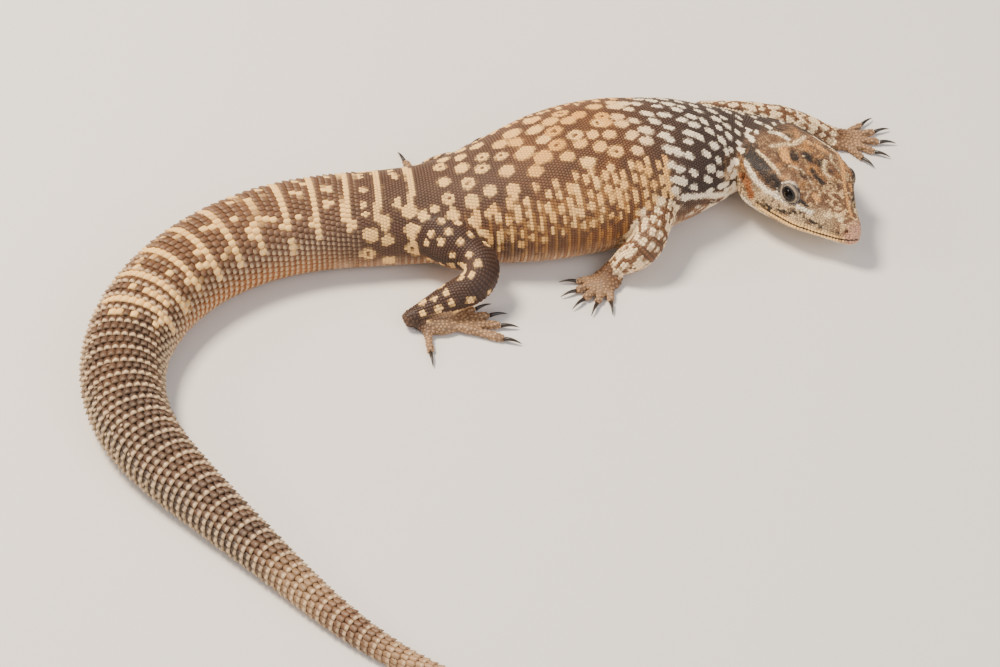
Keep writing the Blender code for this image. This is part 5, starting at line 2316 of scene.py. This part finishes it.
@dataclass(frozen=True)
class ScaleKeratin:
    """Dull beta keratin of living scales: colour from the markings, soft sheen on each dome; a
    shade below 1 darkens it as painted shade.
    """

    name: str = "keratin_scales"
    roughness: float = 0.48
    # Below 1, painted shade that darkens the whole colour.
    shade: float = 1.0
    grain_mm: float = 0.35

    def build(self) -> bpy.types.Material:
        """Make the material.

        Returns:
            The material.
        """
        material = bpy.data.materials.new(self.name)
        material.use_nodes = True
        tree = material.node_tree
        shader = tree.nodes["Principled BSDF"]
        tint = add_node(tree, "ShaderNodeAttribute", attribute_name="tint")
        place = add_node(tree, "ShaderNodeTexCoord")
        # Mottling inside each scale, as on dry skin. The real grain is too fine to show, so one
        # swell is drawn 0.35 mm wide.
        grain = add_node(tree, "ShaderNodeTexNoise",
                         {"Scale": 1.0 / (self.grain_mm * MM), "Detail": 2.0},
                         {"Vector": place.outputs["Object"]})
        # The worn rear edges of the tail's scutes turn pale.
        rear = add_node(tree, "ShaderNodeAttribute", attribute_name="rear")
        edge = add_node(tree, "ShaderNodeAttribute", attribute_name="edge")
        share = add_node(tree, "ShaderNodeMath",
                         links={0: rear.outputs["Fac"], 1: edge.outputs["Fac"]},
                         operation="MULTIPLY")
        pale = add_node(tree, "ShaderNodeMix", {7: (*linear("#E2C196"), 1.0)},
                        {0: share.outputs[0], 6: tint.outputs["Color"]}, data_type="RGBA")
        # The shade scales the colour; below 1 it is painted shade, as on the skin between scales.
        level = add_node(tree, "ShaderNodeMapRange",
                         {"To Min": 0.82 * self.shade, "To Max": 1.16 * self.shade},
                         {"Value": grain.outputs["Fac"]})
        colour = add_node(tree, "ShaderNodeVectorMath",
                          links={0: pale.outputs[2], 3: level.outputs["Result"]}, operation="SCALE")
        tree.links.new(colour.outputs[0], shader.inputs["Base Color"])
        shader.inputs["Roughness"].default_value = self.roughness
        shader.inputs["IOR"].default_value = 1.5
        return material


@dataclass(frozen=True)
class EvenFinish:
    """One even colour with its own shine."""

    name: str
    colour: str
    shine: tuple[tuple[str, float], ...]

    def build(self) -> bpy.types.Material:
        """Make the material.

        Returns:
            The material.
        """
        material = bpy.data.materials.new(self.name)
        material.use_nodes = True
        shader = material.node_tree.nodes["Principled BSDF"]
        shader.inputs["Base Color"].default_value = (*linear(self.colour), 1.0)
        for socket, value in self.shine:
            shader.inputs[socket].default_value = value
        return material


@dataclass(frozen=True)
class WetEye(EvenFinish):
    """Cornea over a dark brown iris: near black, with a sharp wet highlight."""

    name: str = "wet_cornea"
    colour: str = "#060403"
    shine: tuple = (("Roughness", 0.06), ("IOR", 1.33), ("Specular IOR Level", 0.3),
                    ("Coat Weight", 0.15), ("Coat Roughness", 0.03))


@dataclass(frozen=True)
class Horn(EvenFinish):
    """Claw horn: dark and smooth, with a satin shine."""

    name: str = "claw_horn"
    colour: str = "#2C241F"
    shine: tuple = (("Roughness", 0.33), ("IOR", 1.54))


@dataclass(frozen=True)
class StudioFloor(EvenFinish):
    """Pale matt floor board, so that nothing shines under the animal."""

    name: str = "pale_floor"
    colour: str = "#EAE4DC"
    shine: tuple = (("Roughness", 0.85),)


# Small parts ---------------------------------------------------------------


@dataclass
class Claws:
    """Curved claws at the ends of the digits."""

    anatomy: Anatomy
    root: float = 0.64
    gap: float = 0.1

    def build(self, limb: Limb, index: int, name: str,
              horn: bpy.types.Material) -> bpy.types.Object:
        """One claw.

        Args:
            limb: Limb that carries it.
            index: Digit, from 0 to 4.
            name: Name of the piece.
            horn: Its material.

        Returns:
            The claw.
        """
        _, tip, direction, radius = limb.digit(index)
        rings = []
        for t in np.linspace(0.0, 0.97, 12):
            along = self.gap + (limb.claw + 0.2) * t
            height = tip[2] + 0.55 * math.sin(math.pi * t * 0.8) - (tip[2] - 0.35) * t * t
            centre = np.array([*(tip[:2] + direction[:2] * along), height])
            size = self.root * radius / 1.45 * (1 - t) ** 0.75 + 0.03
            rings.append(level_ring(centre, direction, size, 12))
        points, faces = loft(rings)
        points[:, 2] = np.maximum(points[:, 2], FLOOR_GAP)
        item = mesh_object(name, points, faces)
        item.data.materials.append(horn)
        return item


@dataclass
class Eyes:
    """Eyeballs under the lids."""

    anatomy: Anatomy

    def build(self, name: str, side: int, finish: bpy.types.Material) -> bpy.types.Object:
        """One eyeball as a fine closed ball.

        Args:
            name: Name of the piece.
            side: 1 for the left eye, -1 for the right.
            finish: Its material.

        Returns:
            The eyeball.
        """
        body = self.anatomy.body
        x, y, z = body.eye
        centre = body.spine.from_head([[x, side * y, z]])[0]
        rings = []
        for lat in np.linspace(-0.495, 0.495, 40) * math.pi:
            turn = full_turn(64)
            ring = np.stack([np.cos(turn) * math.cos(lat), np.sin(turn) * math.cos(lat),
                             np.full(64, math.sin(lat))], axis=1)
            rings.append(centre + ring * (body.eye_radius - 0.02))
        points, faces = loft(rings)
        item = mesh_object(name, points, faces)
        item.data.materials.append(finish)
        return item


@dataclass
class Studio:
    """Pale floor, soft lights and the camera."""

    target: Triple = (-0.00185, 0.02225, 0.0)
    distance: float = 0.8415
    elevation: float = 45.0
    lens: float = 104.4
    floor_reach: float = 3000.0

    def build(self) -> None:
        """Set up the whole studio."""
        square = np.array([(-1, -1, 0), (1, -1, 0), (1, 1, 0), (-1, 1, 0)]) * self.floor_reach
        floor = mesh_object("floor", square, [(0, 1, 2, 3)], smooth_faces=False)
        # Matt board: soft shadows and no shine.
        floor.data.materials.append(StudioFloor().build())
        self.camera()
        self.lamp("key", (-0.45, 0.25, 0.95), 0.3, 21.0, "#FFEFD9")
        self.lamp("fill", (0.6, -0.7, 0.7), 0.9, 7.0, "#F6F5FF")
        self.lamp("catchlight", (-0.85, 0.05, 0.42), 0.16, 2.4, "#FFF8F0")
        world = bpy.data.worlds.new("studio_air")
        world.use_nodes = True
        sky = world.node_tree.nodes["Background"]
        sky.inputs["Color"].default_value = (*linear("#EDEFF2"), 1.0)
        sky.inputs["Strength"].default_value = 0.55
        bpy.context.scene.world = world

    def camera(self) -> None:
        """Camera on the photograph's line of sight."""
        data = bpy.data.cameras.new("camera")
        data.lens = self.lens
        data.sensor_width = 36.0
        tilt = math.radians(self.elevation)
        item = bpy.data.objects.new("camera", data)
        item.location = (self.target[0], self.target[1] - self.distance * math.cos(tilt),
                         self.distance * math.sin(tilt))
        item.rotation_euler = (math.pi / 2 - tilt, 0.0, 0.0)
        bpy.context.scene.collection.objects.link(item)
        bpy.context.scene.camera = item

    def lamp(self, name: str, place: Triple, size: float, power: float, colour: str) -> None:
        """Soft square lamp turned to the animal.

        Args:
            name: Name of the lamp.
            place: Its place in metres.
            size: Its edge in metres.
            power: Its power in watts.
            colour: Its sRGB colour.
        """
        data = bpy.data.lights.new(name, "AREA")
        data.size = size
        data.energy = power
        data.color = linear(colour)
        item = bpy.data.objects.new(name, data)
        item.location = place
        view = Vector(self.target) - Vector(place)
        item.rotation_euler = view.to_track_quat("-Z", "Y").to_euler()
        bpy.context.scene.collection.objects.link(item)


# Whole ---------------------------------------------------------------------


FLESH = ("head", "neck", "torso", "tail_1", "tail_2", "tail_3", "tail_4", "tail_5", "tail_6",
         "upper_arm_right", "forearm_right", "hand_right",
         "upper_arm_left", "forearm_left", "hand_left",
         "thigh_right", "shank_right", "foot_right", "thigh_left", "shank_left", "foot_left")


def main() -> None:
    """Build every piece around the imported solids."""
    logging.basicConfig(level=logging.INFO, format="%(message)s")
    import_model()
    anatomy = Anatomy.ackie()
    atlas = Atlas(anatomy)
    markings = Markings(anatomy, atlas)

    # Satin scales in the animal's own markings.
    keratin = ScaleKeratin().build()
    # Thicker, drier scutes, so that the tail shines less than the back.
    tail_keratin = ScaleKeratin("keeled_scute_keratin", roughness=0.52).build()
    # Matt skin with its colour darkened to 0.55: painted shade in the gaps between scales.
    shaded_gap_skin = ScaleKeratin("shaded_skin_between_scales", roughness=0.6, shade=0.55).build()
    # Dark smooth claws.
    horn = Horn().build()
    # Wet black eyes that catch the lamps.
    wet = WetEye().build()

    skin = Skin(anatomy).build()
    surface = SkinSurface(skin)
    tints = markings.colours(surface.points)
    store(skin, "tint", "FLOAT_COLOR", opaque(tints))
    skin.data.materials.clear()
    skin.data.materials.append(shaded_gap_skin)
    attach(skin, "root")
    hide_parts(*FLESH)
    LOG.info("skin: %d triangles", triangle_count(skin.data))

    coat = Coat(anatomy, atlas, surface)
    coat.gather()
    tree = ScaleTree().build()
    shapes = {shape: ScaleTemplate(shape).build() for shape in ScaleShape}
    total = 0
    for rows in coat.pieces:
        keeled = rows.shape is ScaleShape.KEELED
        finish = tail_keratin if keeled else keratin
        places = rows.column(0)
        edges = markings.pale_edge(places, coat.whorls) if keeled else np.zeros(len(places))
        item = grown(rows, tree, shapes[rows.shape], finish, markings.colours(places), edges)
        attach(item, "root")
        count = triangle_count(item.data)
        total += count
        LOG.info("%s: %d scales, %d triangles", rows.name, len(places), count)
    LOG.info("coat: %d triangles", total)
    for shape in shapes.values():
        bpy.data.objects.remove(shape)

    eyes = Eyes(anatomy)
    for name, side in (("eye_left", 1), ("eye_right", -1)):
        ball = eyes.build(f"{name}_ball", side, wet)
        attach(ball, "root")
        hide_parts(name)
    claws = Claws(anatomy)
    for limb, foot in zip(anatomy.limbs, ("hand_right", "hand_left", "foot_right", "foot_left")):
        for digit in range(5):
            node = f"claw_{foot}_{digit + 1}"
            claw = claws.build(limb, digit, f"{node}_horn", horn)
            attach(claw, "root")
            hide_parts(node)
    LOG.info("eyes and claws made")
    Studio().build()


if __name__ == "__main__":
    main()
